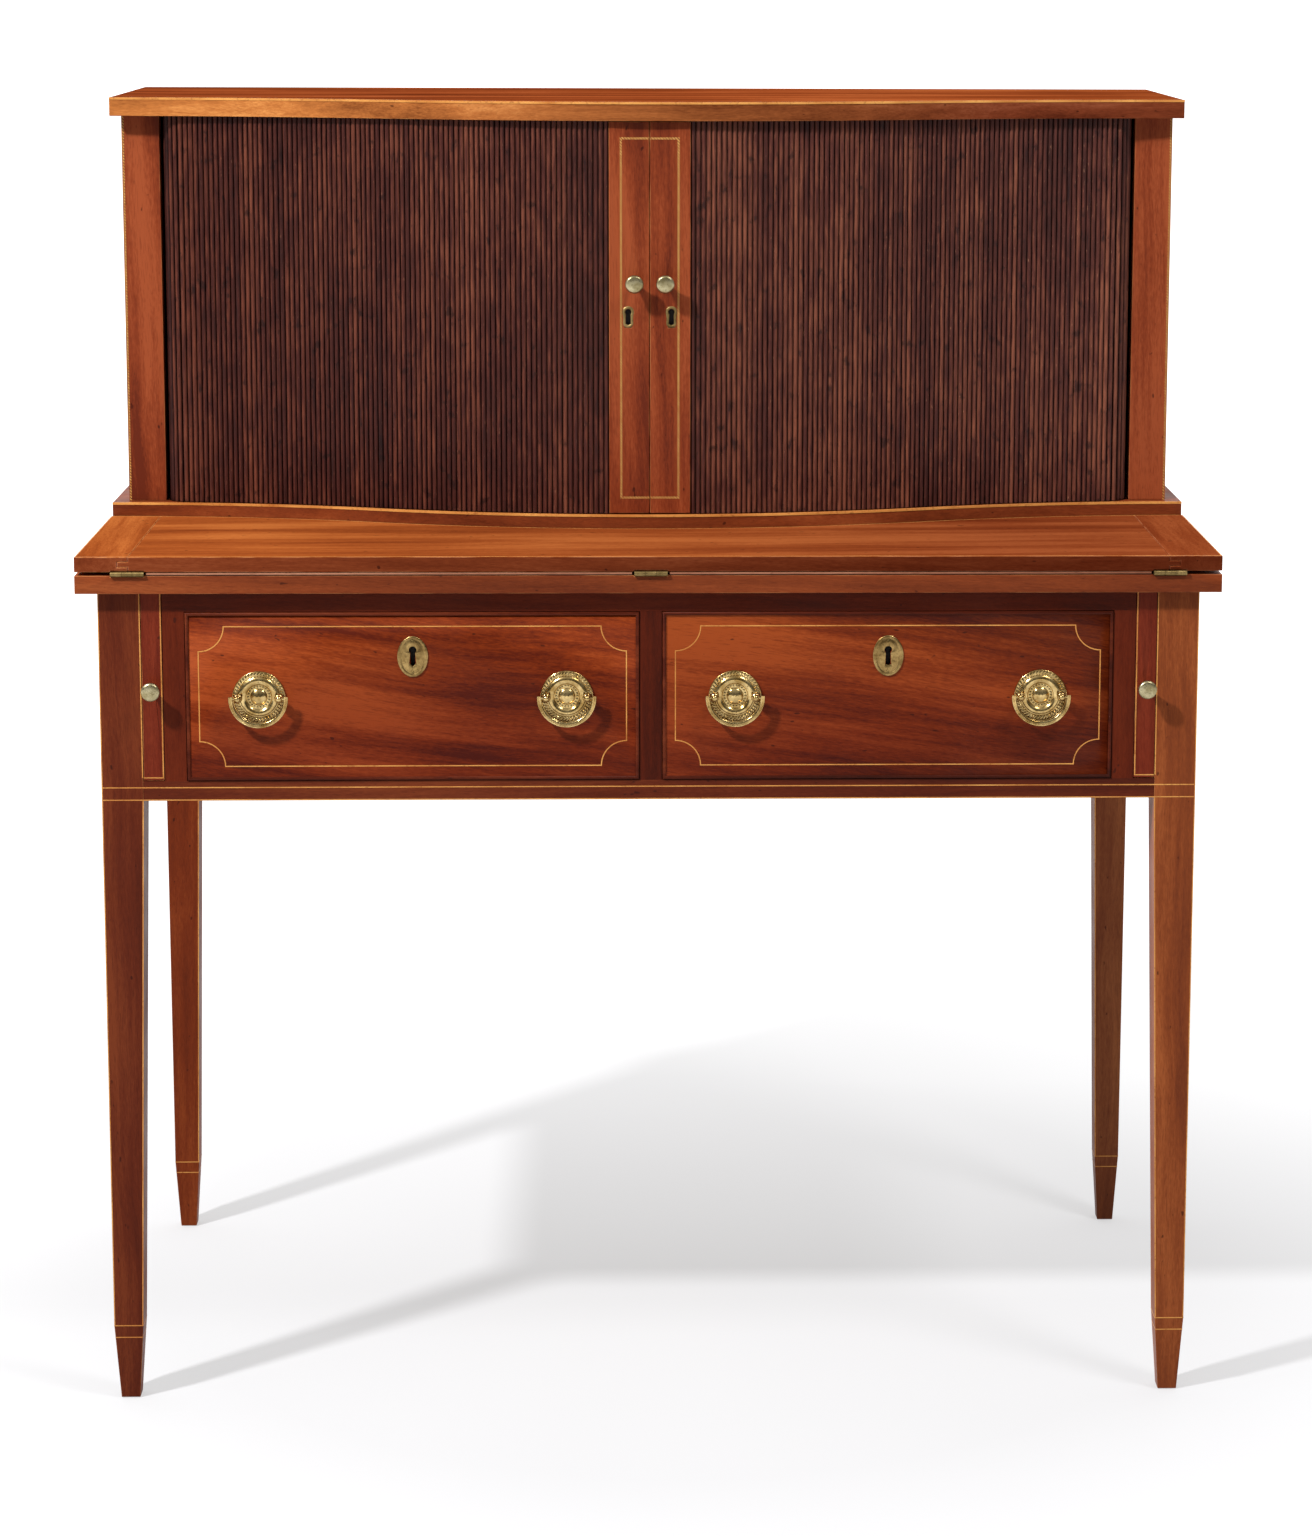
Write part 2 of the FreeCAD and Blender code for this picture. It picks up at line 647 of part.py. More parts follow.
def make_hinges():
    """Three butt hinges: two knuckles of each and the pin on the bed board, one on the leaf."""
    half = S.hinge_length / 2
    third = S.hinge_length / 6
    gap = S.hinge_clearance
    relief = S.knuckle_radius + gap
    reach = (pin_setback, pin_setback + S.hinge_reach)
    fixed = []
    swung = []
    for index, centre in enumerate(hinge_places):
        whole = (centre - half, centre + half)
        ends = ((centre - half, centre - third), (centre + third, centre + half))
        middle = (centre - third, centre + third)
        lower = board(f"bed_plate_{index}", whole, reach, (bed_top, bed_top + S.hinge_plate))
        lower = cut(f"bed_plate_{index}_relieved", lower, [hinge_rod(f"bed_relief_{index}", middle, relief)])
        barrels = [
            hinge_rod(f"bed_knuckle_{index}_{end}", span, S.knuckle_radius) for end, span in enumerate(ends)
        ]
        pin = hinge_rod(f"hinge_pin_{index}", whole, S.pin_radius)
        fixed.append(fuse(f"bed_hinge_{index}", [lower, pin] + barrels))
        upper = board(f"leaf_plate_{index}", whole, reach, (leaf_bottom - S.hinge_plate, leaf_bottom))
        reliefs = [
            hinge_rod(f"leaf_relief_{index}_{end}", (low - gap, high + gap), relief)
            for end, (low, high) in enumerate(ends)
        ]
        upper = cut(f"leaf_plate_{index}_relieved", upper, reliefs)
        barrel = hinge_rod(f"leaf_knuckle_{index}", (middle[0] + gap, middle[1] - gap), S.knuckle_radius)
        bore = hinge_rod(f"leaf_bore_{index}", middle, S.pin_radius + S.pin_clearance)
        swung.append(cut(f"leaf_hinge_{index}", fuse(f"leaf_hinge_{index}_blank", [upper, barrel]), [bore]))
    keep(group("bed_hinge_plates", fixed), "bed_hinge_plates")
    keep(group("leaf_hinge_plates", swung), "leaf_hinge_plates")


def curve_radius(half):
    """The radius of the equal arcs of a serpentine front."""
    reach = half / 2
    return (reach * reach + S.bulge * S.bulge / 4) / S.bulge


def serpentine(half, setback):
    """A serpentine front edge from its right end to its left end: hollow, round, hollow."""
    radius = curve_radius(half)
    turn_y = setback - S.bulge / 2
    return ((half / 2, turn_y, radius), (-half / 2, turn_y, -radius), (-half, setback, radius))


def make_leaf():
    """The folding leaf: its main board with a tongue each end, and the two cross-grain ends."""
    body = new_body("leaf_blank", as_size(0), as_size(0), leaf_bottom)
    sketch = new_sketch(body, "XY_Plane")
    setback = S.base_setback - S.leaf_gap
    corners = (
        (-bed_half, setback),
        (-bed_half, -S.front_overhang),
        (bed_half, -S.front_overhang),
        (bed_half, setback),
        (base_half, setback),
    )
    outline(sketch, corners + serpentine(base_half, setback))
    pad(body, sketch, S.leaf_thickness)
    top = pin_height + S.knuckle_radius + S.hinge_clearance
    blank = cut("leaf_notched", body, hinge_notches("leaf", (leaf_bottom, top)))
    deep = (-S.front_overhang, S.base_setback)
    joint = bed_half - S.breadboard_width
    middle = leaf_bottom + S.leaf_thickness / 2
    tongue = (middle - S.tongue_thickness / 2, middle + S.tongue_thickness / 2)
    full = (leaf_bottom, leaf_top)
    inside = fuse(
        "leaf_core",
        [
            board("leaf_core_board", (-joint, joint), deep, full),
            board("leaf_core_tongues", (-joint - S.tongue_length, joint + S.tongue_length), deep, tongue),
        ],
    )
    main = doc.addObject("Part::Common", "writing_leaf")
    main.Base = blank
    main.Tool = inside
    keep(main, "writing_leaf")
    keep(cut("leaf_ends", blank, [inside]), "leaf_breadboard_ends")


# The leaf supports.


def make_loper(label, side):
    """A leaf support, bored for its knob."""
    x = across(side, loper_inner, loper_outer)
    centre = (x[0] + x[1]) / 2
    body = new_body(f"loper_{label}", as_size(0), as_size(0), as_size(0))
    height = (rail_top + S.loper_clearance, S.case_height - S.loper_clearance)
    pad(body, rectangle(new_sketch(body, "XZ_Plane"), x, height), back_front - S.loper_room, reverse=True)
    knob_height = (height[0] + height[1]) / 2 - S.loper_knob_drop
    pocket(body, circle(new_sketch(body, "XZ_Plane"), centre, knob_height, S.knob_shank), S.shank_length)
    keep(body, f"loper_{label}")
    make_knob(f"loper_knob_{label}", centre, as_size(0), knob_height)


def make_knob(name, x, y, z):
    """A turned brass knob: a foot, a neck and a bevelled head, on its screw."""
    body = new_body(name, x, y, z)
    rim_front = S.knob_bevel - S.knob_reach
    profile = (
        (0, S.shank_length),
        (S.knob_shank, S.shank_length),
        (S.knob_shank, 0),
        (S.knob_foot, 0),
        (S.knob_foot, -S.foot_thickness),
        (S.knob_neck, -S.foot_thickness),
        (S.knob_neck, -S.neck_reach),
        (S.knob_radius, rim_front + S.knob_rim),
        (S.knob_radius, rim_front),
        (S.knob_face, -S.knob_reach),
        (0, -S.knob_reach),
    )
    turn(body, outline(new_sketch(body, "XY_Plane"), profile))
    return keep(body, name)


# The drawers.


def keyhole(sketch, x, z, head, slot, height):
    """Draw a keyhole: a round head above a straight slot."""
    half = slot / 2
    top = z + height / 2
    bottom = z - height / 2
    shoulder = top - head - (head * head - half * half).root()
    return outline(
        sketch,
        (
            (x + half, bottom),
            (x + half, shoulder),
            (x, top, head),
            (x - half, shoulder, head),
            (x - half, bottom),
        ),
    )


def drawer_keyhole(body):
    """Draw the keyhole of a drawer in the middle of its front."""
    sketch = new_sketch(body, "XZ_Plane")
    return keyhole(sketch, as_size(0), lock_height, S.keyhole_radius, S.keyhole_slot, S.keyhole_height)


def oval(sketch, x, z, width, height):
    """Draw an upright oval of four tangent arcs."""
    end = width * OVAL_END
    rise = height / 2 - end
    short = width / 2 - end
    centre = (rise * rise - short * short) / (short * 2)
    side = centre + width / 2
    reach = side - end
    tangent_x = side * centre / reach - centre
    tangent_z = side * rise / reach
    return outline(
        sketch,
        (
            (x + tangent_x, z + tangent_z, side),
            (x - tangent_x, z + tangent_z, end),
            (x - tangent_x, z - tangent_z, side),
            (x + tangent_x, z - tangent_z, end),
        ),
    )


def make_tails(name, x):
    """The dovetails on the front end of a drawer side."""
    body = new_body(name, x[0], as_size(0), as_size(0))
    sketch = new_sketch(body, "YZ_Plane")
    low = drawer_low + S.bead_width
    step = (drawer_high - S.side_drop - low) / DOVETAILS
    for index in range(DOVETAILS):
        bottom = low + step * index + S.tail_gap / 2
        top = bottom + step - S.tail_gap
        outline(
            sketch,
            (
                (S.drawer_front, bottom + S.tail_flare),
                (S.drawer_front, top - S.tail_flare),
                (S.drawer_lap, top),
                (S.drawer_lap, bottom),
            ),
        )
    pad(body, sketch, x[1] - x[0])
    return body


def make_drawer_front(label, middle, tails):
    """A drawer front: rebated for its bead, cut for the dovetails, lock, bottom and pulls."""
    name = f"drawer_{label}_front"
    body = new_body(f"{name}_blank", middle, as_size(0), as_size(0))
    whole = ((-drawer_half, drawer_half), (drawer_low, drawer_high))
    field = (
        (S.bead_width - drawer_half, drawer_half - S.bead_width),
        (drawer_low + S.bead_width, drawer_high - S.bead_width),
    )
    pad(body, rectangle(new_sketch(body, "XZ_Plane"), *whole), S.drawer_front, reverse=True)
    rebate = rectangle(rectangle(new_sketch(body, "XZ_Plane"), *whole), *field)
    pocket(body, rebate, S.bead_depth - S.bead_reach)
    pocket(body, drawer_keyhole(body), S.drawer_front)
    recess = new_sketch(body, "XZ_Plane", -S.drawer_front)
    rectangle(recess, (-S.lock_width / 2, S.lock_width / 2), (drawer_high - S.lock_drop, drawer_high))
    pocket(body, recess, S.lock_depth, reverse=True)
    groove = new_sketch(body, "XZ_Plane", -S.drawer_front)
    inside = drawer_half - S.drawer_side + S.bottom_groove
    low = drawer_low + S.bottom_lift
    rectangle(groove, (-inside, inside), (low, low + S.drawer_bottom))
    pocket(body, groove, S.bottom_groove, reverse=True)
    holes = new_sketch(body, "XZ_Plane")
    pull = drawer_half - S.pull_inset
    for post in (-pull - S.post_spread, S.post_spread - pull, pull - S.post_spread, pull + S.post_spread):
        circle(holes, post, pull_height, S.stem_radius)
    pocket(body, holes, S.drawer_front)
    return keep(cut(name, body, tails), name)


def make_drawer(label, side):
    """One drawer: front, bead, sides and back, bottom, lock and pulls."""
    middle = drawer_middle * side
    outside = (middle - drawer_half, middle + drawer_half)
    inside = (outside[0] + S.drawer_side, outside[1] - S.drawer_side)
    ends = ((outside[0], inside[0]), (inside[1], outside[1]))
    side_top = drawer_high - S.side_drop
    panel_low = drawer_low + S.bottom_lift
    panel_high = panel_low + S.drawer_bottom
    tails = [make_tails(f"tails_{label}_{index}", x) for index, x in enumerate(ends)]
    make_drawer_front(label, middle, tails)
    panel = (
        (inside[0] - S.bottom_groove, inside[1] + S.bottom_groove),
        (S.drawer_front - S.bottom_groove, drawer_back),
        (panel_low, panel_high),
    )
    box = []
    for index, x in enumerate(ends):
        plain = board(f"side_board_{label}_{index}", x, (S.drawer_front, drawer_back), (drawer_low, side_top))
        blank = fuse(f"side_blank_{label}_{index}", [plain, tails[index]])
        groove = board(f"side_groove_{label}_{index}", *panel)
        box.append(cut(f"drawer_side_{label}_{index}", blank, [groove]))
    rear = (drawer_back - S.drawer_side, drawer_back)
    box.append(board(f"drawer_back_{label}", inside, rear, (panel_high, side_top - S.bottom_lift)))
    keep(group(f"drawer_{label}_box", box), f"drawer_{label}_box")
    keep(board(f"drawer_{label}_bottom", *panel), f"drawer_{label}_bottom")
    make_bead(label, middle)
    make_drawer_lock(label, middle)
    pulls = []
    for place_name, distance in pull_places:
        pulls += make_pull(f"{label}_{place_name}", distance * side)
        make_bail(f"bail_{label}_{place_name}", distance * side)
    keep(group(f"drawer_{label}_pulls", pulls), f"drawer_{label}_pulls")


def make_bead(label, middle):
    """The cock bead round a drawer front, mitred at its corners, with a rounded front."""
    body = new_body(f"drawer_{label}_cock_bead", middle, as_size(0), as_size(0))
    inset = S.bead_width / 2
    path = new_sketch(body, "XZ_Plane")
    reach = drawer_half - inset
    low = drawer_low + inset
    high = drawer_high - inset
    outline(path, ((0, low), (reach, low), (reach, high), (-reach, high), (-reach, low)))
    section = new_sketch(body, "YZ_Plane")
    shoulder = inset - S.bead_reach
    seat = S.bead_depth - S.bead_reach
    upper = drawer_low + S.bead_width
    runs = (
        (seat, drawer_low),
        (seat, upper),
        (shoulder, upper),
        (-S.bead_reach, low, inset),
        (shoulder, drawer_low, inset),
    )
    outline(section, runs)
    feature = body.newObject("PartDesign::AdditivePipe", "Pipe")
    feature.Profile = section
    feature.Spine = (path, [f"Edge{index + 1}" for index in range(path.GeometryCount)])
    feature.Transition = "Right corner"
    return keep(body, f"drawer_{label}_cock_bead")


def make_drawer_lock(label, middle):
    """A drawer lock: oval escutcheon in front, lock case behind, and the bolt that rises."""
    plate = new_body(f"drawer_{label}_escutcheon", middle, as_size(0), as_size(0))
    face = new_sketch(plate, "XZ_Plane")
    oval(face, as_size(0), lock_height, S.escutcheon_width, S.escutcheon_height)
    pad(plate, face, S.escutcheon_thickness)
    pocket(plate, drawer_keyhole(plate), S.escutcheon_thickness, reverse=True)
    keep(plate, f"drawer_{label}_escutcheon")
    half = S.lock_width / 2
    case = board(
        f"lock_blank_{label}",
        (middle - half, middle + half),
        (lock_front, S.drawer_front),
        (drawer_high - S.lock_drop, drawer_high - S.bolt_clearance),
    )
    slot = S.bolt_width / 2 + S.bolt_clearance
    bolt_low = drawer_high - S.bolt_clearance - S.bolt_length
    channel = board(
        f"lock_channel_{label}",
        (middle - slot, middle + slot),
        (bolt_front - S.bolt_clearance, bolt_back + S.bolt_clearance),
        (bolt_low - S.bolt_clearance, drawer_high),
    )
    keep(cut(f"drawer_{label}_lock_case", case, [channel]), f"drawer_{label}_lock_case")
    slot = S.bolt_width / 2
    bolt = board(
        f"drawer_{label}_lock_bolt",
        (middle - slot, middle + slot),
        (bolt_front, bolt_back),
        (bolt_low, bolt_low + S.bolt_length),
    )
    keep(bolt, f"drawer_{label}_lock_bolt")


def make_pull(name, x):
    """The fixed pieces of a pull: its back plate, and its two posts with their nuts."""
    plate = new_body(f"plate_{name}", x, as_size(0), pull_height)
    ring_middle = (S.ring_outer + S.ring_inner) / 2
    profile = (
        (0, 0),
        (S.plate_radius, 0),
        (S.plate_radius, -S.rim_rise),
        (S.plate_radius - S.plate_rim, -S.plate_thickness),
        (S.ring_outer, -S.plate_thickness),
        (ring_middle, -S.ring_rise),
        (S.ring_inner, -S.plate_thickness),
        (S.boss_radius, -S.plate_thickness),
        (0, -S.boss_rise),
    )
    turn(plate, outline(new_sketch(plate, "XY_Plane"), profile))
    holes = new_sketch(plate, "XZ_Plane")
    pieces = [plate]
    for label, hand in SIDES:
        circle(holes, S.post_spread * hand, 0, S.stem_radius)
        pieces += make_post(f"{name}_{label}", x + S.post_spread * hand, hand)
    pocket(plate, holes, S.rim_rise, reverse=True)
    return pieces


def make_post(name, x, hand):
    """A bead-headed post bored for the bail, on a bolt through the drawer front, and its nut."""
    post = new_body(f"post_{name}", x, as_size(0), pull_height)
    ball = S.post_radius
    flat = ball * OCTAGON
    end = S.drawer_front + S.nut_thickness
    profile = (
        (0, end),
        (S.stem_radius, end),
        (S.stem_radius, ball + flat - S.stem_radius - S.post_reach),
        (ball, flat - S.post_reach),
        (ball, -flat - S.post_reach),
        (flat, -ball - S.post_reach),
        (0, -ball - S.post_reach),
    )
    turn(post, outline(new_sketch(post, "XY_Plane"), profile))
    bore = circle(new_sketch(post, "YZ_Plane"), -S.post_reach, 0, S.bail_pin + S.pin_clearance)
    pocket(post, bore, ball * 2, reverse=hand > 0)
    nut = new_body(f"nut_{name}", x, S.drawer_front, pull_height)
    reach = S.nut_radius
    half = reach / 2
    flat = reach * math.sqrt(3) / 2
    face = outline(
        new_sketch(nut, "XZ_Plane"),
        ((reach, 0), (half, flat), (-half, flat), (-reach, 0), (-half, -flat), (half, -flat)),
    )
    pad(nut, circle(face, 0, 0, S.stem_radius), S.nut_thickness, reverse=True)
    return [post, nut]


def disc(name, x, rise, radius, turned):
    """A round plate of a bail, square to the drawer front: whole, or turned through an angle."""
    plate = doc.addObject("Part::Cylinder", name)
    plate.Placement = FreeCAD.Placement(FreeCAD.Vector(), FreeCAD.Rotation(FreeCAD.Vector(1, 0, 0), -90))
    plate.Angle = turned
    bind(plate, "Radius", radius)
    bind(plate, "Height", S.bail_thickness)
    place(plate, x, -S.post_reach - S.bail_thickness / 2, pull_height + rise)
    return plate


def make_bail(name, x):
    """A flat crescent bail with an eye at each end, on two pins that turn in the posts."""
    blank = disc(f"{name}_blank", x, as_size(0), S.bail_radius, 180)
    hollow = disc(f"{name}_hollow", x, S.bail_swell, S.bail_radius - S.bail_end, 360)
    pieces = [cut(f"{name}_crescent", blank, [hollow])]
    eye = S.bail_end / 2
    for label, side in SIDES:
        centre = S.bail_radius - eye
        pieces.append(disc(f"{name}_eye_{label}", x + centre * side, as_size(0), eye, 360))
        near, far = across(side, S.post_spread + S.hinge_clearance, centre)
        pieces.append(rod(f"{name}_pin_{label}", (x + near, x + far), -S.post_reach, pull_height, S.bail_pin))
    return keep(fuse(name, pieces), name)


# The upper case.


def tambour_line(offset, side, start_x, tail=None):
    """A line that runs beside the groove of one tambour: from start_x along the serpentine front,
    round the pilaster and back along the side, for tail, or else round the rear corner too."""
    radius = curve_radius(base_half)
    round_y = S.base_setback - S.bulge + radius
    hollow_y = S.base_setback - radius
    along = (radius - offset) / (radius * 2)
    outward = groove_setback - offset
    corner = S.corner_radius + outward
    side_x = pilaster_inner - S.side_run
    corner_x = side_x - S.corner_radius
    away = radius + groove_setback + S.corner_radius
    gap_x = base_half - corner_x
    gap_y = (away * away - gap_x * gap_x).root()
    corner_y = hollow_y + gap_y
    share = (radius + offset) / away
    inner = radius - offset
    line = [
        (start_x, round_y - (inner * inner - start_x * start_x).root()),
        (base_half * along, round_y + (S.bulge - radius * 2) * along, inner),
        (base_half - gap_x * share, hollow_y + gap_y * share, -(radius + offset)),
        (side_x + outward, corner_y, corner),
    ]
    if tail is not None:
        line.append((side_x + outward, corner_y + tail))
    else:
        rear_y = upper_back_front - S.side_run
        line += [
            (side_x + outward, rear_y - S.corner_radius),
            (corner_x, rear_y + outward, corner),
            (corner_x - S.rear_run, rear_y + outward),
        ]
    return [(run[0] * side, run[1]) + tuple(reach * side for reach in run[2:]) for run in line]


def band(near, far):
    """The closed outline between two lines that run side by side."""
    back = []
    for index in range(len(far) - 1, 0, -1):
        back.append(tuple(far[index - 1][:2]) + tuple(-radius for radius in far[index][2:]))
    return near + [far[-1][:2]] + back


def make_serpentine_board(name, half, low, thickness, groove_low):
    """A serpentine-fronted board with a groove for each tambour in one face."""
    body = new_body(name, as_size(0), as_size(0), low)
    corners = ((-half, back_edge), (half, back_edge), (half, S.base_setback))
    pad(body, outline(new_sketch(body, "XY_Plane"), corners + serpentine(half, S.base_setback)), thickness)
    for side in (-1, 1):
        near = tambour_line(groove_setback - S.groove_width / 2, side, as_size(0))
        far = tambour_line(groove_setback + S.groove_width / 2, side, as_size(0))
        groove = outline(new_sketch(body, "XY_Plane", groove_low), band(near, far))
        pocket(body, groove, S.groove_depth, reverse=True)
    return keep(body, name)


def make_upper_case():
    """Base and top boards, sides, back, pilasters and pigeonholes."""
    groove_low = S.base_thickness - S.groove_depth
    make_serpentine_board("upper_base", base_half, bed_top, S.base_thickness, groove_low)
    make_serpentine_board("upper_top", top_half, ceiling, S.top_thickness, as_size(0))
    height = (base_top, ceiling)
    for label, side in SIDES:
        rear = (pilaster_back, S.case_depth)
        wall = board(f"upper_side_{label}", across(side, side_inner, upper_half), rear, height)
        keep(wall, f"upper_side_{label}")
        thick = (pilaster_front, pilaster_back)
        pilaster = board(f"pilaster_{label}", across(side, pilaster_inner, upper_half), thick, height)
        keep(pilaster, f"pilaster_{label}")
    back = board("upper_back", (-side_inner, side_inner), (upper_back_front, S.case_depth), height)
    keep(back, "upper_back")
    make_pigeonholes(height)


def uprights(name, count, half, depth, height):
    """Evenly spaced upright boards that part a space into a number of pigeonholes."""
    pitch = half * 2 / count
    thin = S.divider_thickness / 2
    return [
        board(f"{name}_{index}", (pitch * index - half - thin, pitch * index - half + thin), depth, height)
        for index in range(1, count)
    ]


def make_pigeonholes(height):
    """The boards inside the tambours, with the shelf and uprights between them."""
    turned = curtain_depth / 2 + S.inner_gap
    outer = pilaster_inner - S.side_run - turned
    inner = outer - S.inner_side
    rear = upper_back_front - S.side_run - turned
    inner_front = pilaster_back + S.inner_recess
    depth = (inner_front, rear)
    walls = [board(f"inner_side_{label}", across(side, inner, outer), depth, height) for label, side in SIDES]
    keep(group("inner_sides", walls), "inner_sides")
    shelf_low = base_top + S.shelf_height
    shelf_high = shelf_low + S.shelf_thickness
    shelf = board("pigeonhole_shelf", (-inner, inner), depth, (shelf_low, shelf_high))
    set_back = (inner_front + S.divider_recess, rear)
    above = uprights("upright_above", UPPER_PIGEONHOLES, inner, set_back, (shelf_high, ceiling))
    below = uprights("upright_below", LOWER_PIGEONHOLES, inner, set_back, (base_top, shelf_low))
    keep(group("pigeonholes", [shelf] + above + below), "pigeonholes")


# The tambours.


def make_lead_stile(label, side):
    """The upright that leads a tambour, with its knob, and let in for its keyhole plate and lock."""
    x = across(side, S.meeting_gap / 2, S.meeting_gap / 2 + S.stile_width)
    height = (base_top + S.stile_clearance, ceiling - S.stile_clearance)
    body = new_body(f"lead_stile_{label}", as_size(0), curtain_front, as_size(0))
    pad(body, rectangle(new_sketch(body, "XZ_Plane"), x, height), S.stile_thickness, reverse=True)
    key_x = S.lead_lock_inset * side
    pocket(body, lead_plate_outline(body, key_x), S.escutcheon_thickness)
    pocket(body, lead_keyhole(body, key_x), S.stile_thickness)
    half = S.lead_case_width / 2
    case_x = (key_x - half, key_x + half)
    case_z = (lead_lock_height - S.lead_case_height / 2, lead_lock_height + S.lead_case_height / 2)
    recess = new_sketch(body, "XZ_Plane", -S.stile_thickness)
    pocket(body, rectangle(recess, case_x, case_z), S.lead_case_depth, reverse=True)
    knob_x = S.lead_knob_inset * side
    pocket(body, circle(new_sketch(body, "XZ_Plane"), knob_x, lead_knob_height, S.knob_shank), S.shank_length)
    keep(body, f"lead_stile_{label}")
    make_knob(f"lead_knob_{label}", knob_x, curtain_front, lead_knob_height)
    plate = new_body(f"lead_escutcheon_{label}", as_size(0), curtain_front, as_size(0))
    pad(plate, lead_plate_outline(plate, key_x), S.escutcheon_thickness, reverse=True)
    pocket(plate, lead_keyhole(plate, key_x), S.escutcheon_thickness)
    stile_back = curtain_front + S.stile_thickness
    case = board(f"lead_lock_case_{label}", case_x, (stile_back - S.lead_case_depth, stile_back), case_z)
    keep(group(f"lead_lock_{label}", [plate, case]), f"lead_lock_{label}")


def lead_keyhole(body, x):
    """Draw the keyhole of a lead stile."""
    sketch = new_sketch(body, "XZ_Plane")
    return keyhole(sketch, x, lead_lock_height, S.lead_key_radius, S.lead_key_slot, S.lead_key_height)


def lead_plate_outline(body, x):
    """Draw the brass plate let in round the keyhole of a lead stile."""
    sketch = new_sketch(body, "XZ_Plane")
    head = S.lead_escutcheon_width / 2
    return keyhole(sketch, x, lead_lock_height, head, S.lead_escutcheon_slot, S.lead_escutcheon_height)


def make_curtain(label, side):
    """A tambour: reeds side by side along the groove, on a strip of canvas."""
    start = S.meeting_gap / 2 + S.stile_width
    glue_offset = groove_setback - curtain_depth / 2 + S.reed_thickness
    low = base_top - S.groove_depth + S.groove_clearance
    high = ceiling + S.groove_depth - S.groove_clearance
    canvas = new_body(f"canvas_{label}", as_size(0), as_size(0), low)
    near = tambour_line(glue_offset, side, start, S.curtain_tail)
    far = tambour_line(glue_offset + S.canvas_thickness, side, start, S.curtain_tail)
    pad(canvas, outline(new_sketch(canvas, "XY_Plane"), band(near, far)), high - low)
    reeds = doc.addObject("Part::Feature", f"reeds_{label}")
    glue_line = tambour_line(glue_offset, 1, start, S.curtain_tail)
    reeds.Shape = Part.Compound(make_reeds(glue_line, side, (high - low).value))
    place(reeds, as_size(0), as_size(0), low)
    keep(group(f"tambour_{label}", [canvas, reeds]), f"tambour_{label}")


def make_reed(length):
    """One reed: a flat back, square shoulders and a front rounded in flats."""
    half = S.reed_width.value / 2
    shoulder = S.reed_shoulder.value
    rise = S.reed_thickness.value - shoulder
    points = [FreeCAD.Vector(-half, 0, 0), FreeCAD.Vector(half, 0, 0)]
    for index in range(REED_FACETS + 1):
        angle = math.pi * index / REED_FACETS
        points.append(FreeCAD.Vector(half * math.cos(angle), shoulder + rise * math.sin(angle), 0))
    return Part.Face(Part.makePolygon(points + points[:1])).extrude(FreeCAD.Vector(0, 0, length))


def make_reeds(line, side, length):
    """The reeds of one tambour, each square to the line that it is glued on, given for the right."""
    points = [FreeCAD.Vector(run[0].value, run[1].value, 0) for run in line]
    edges = []
    for index, run in enumerate(line[1:], start=1):
        if len(run) == 3:
            edges.append(arc_edge(points[index - 1], points[index], run[2]).toShape())
        else:
            edges.append(Part.makeLine(points[index - 1], points[index]))
    marks = Part.Wire(edges).discretize(Distance=S.reed_pitch.value / 2)
    if marks[0].distanceToPoint(points[0]) > marks[-1].distanceToPoint(points[0]):
        marks.reverse()
    reed = make_reed(length)
    reeds = []
    for before, mark, after in zip(marks[0::2], marks[1::2], marks[2::2]):
        run = after - before
        spot = FreeCAD.Vector(mark.x * side, mark.y, 0)
        angle = math.degrees(math.atan2(-run.y * side, -run.x))
        copy = reed.copy()
        copy.Placement = FreeCAD.Placement(spot, FreeCAD.Rotation(FreeCAD.Vector(0, 0, 1), angle))
        reeds.append(copy)
    return reeds


def write_parts():
    """Check every object, then write one STEP file for each piece."""
    doc.recompute()
    for item in doc.Objects:
        if "Invalid" in item.State or "Error" in item.State:
            raise RuntimeError(f"{item.Name} did not recompute: {item.State}")
    for item in nodes:
        if item.Shape.isNull() or not item.Shape.isValid():
            raise RuntimeError(f"{item.Label} has no valid shape")
    os.makedirs("parts", exist_ok=True)
    for item in nodes:
        item.Shape.exportStep(f"parts/{item.Label}.step")


make_table()
make_bed()
make_hinges()
make_leaf()
for side_label, side_sign in SIDES:
    make_loper(side_label, side_sign)
    make_drawer(side_label, side_sign)
make_upper_case()
for side_label, side_sign in SIDES:
    make_lead_stile(side_label, side_sign)
    make_curtain(side_label, side_sign)
write_parts()
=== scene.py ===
import json
import math
import random

import bmesh
import bpy
from mathutils import Matrix, Vector

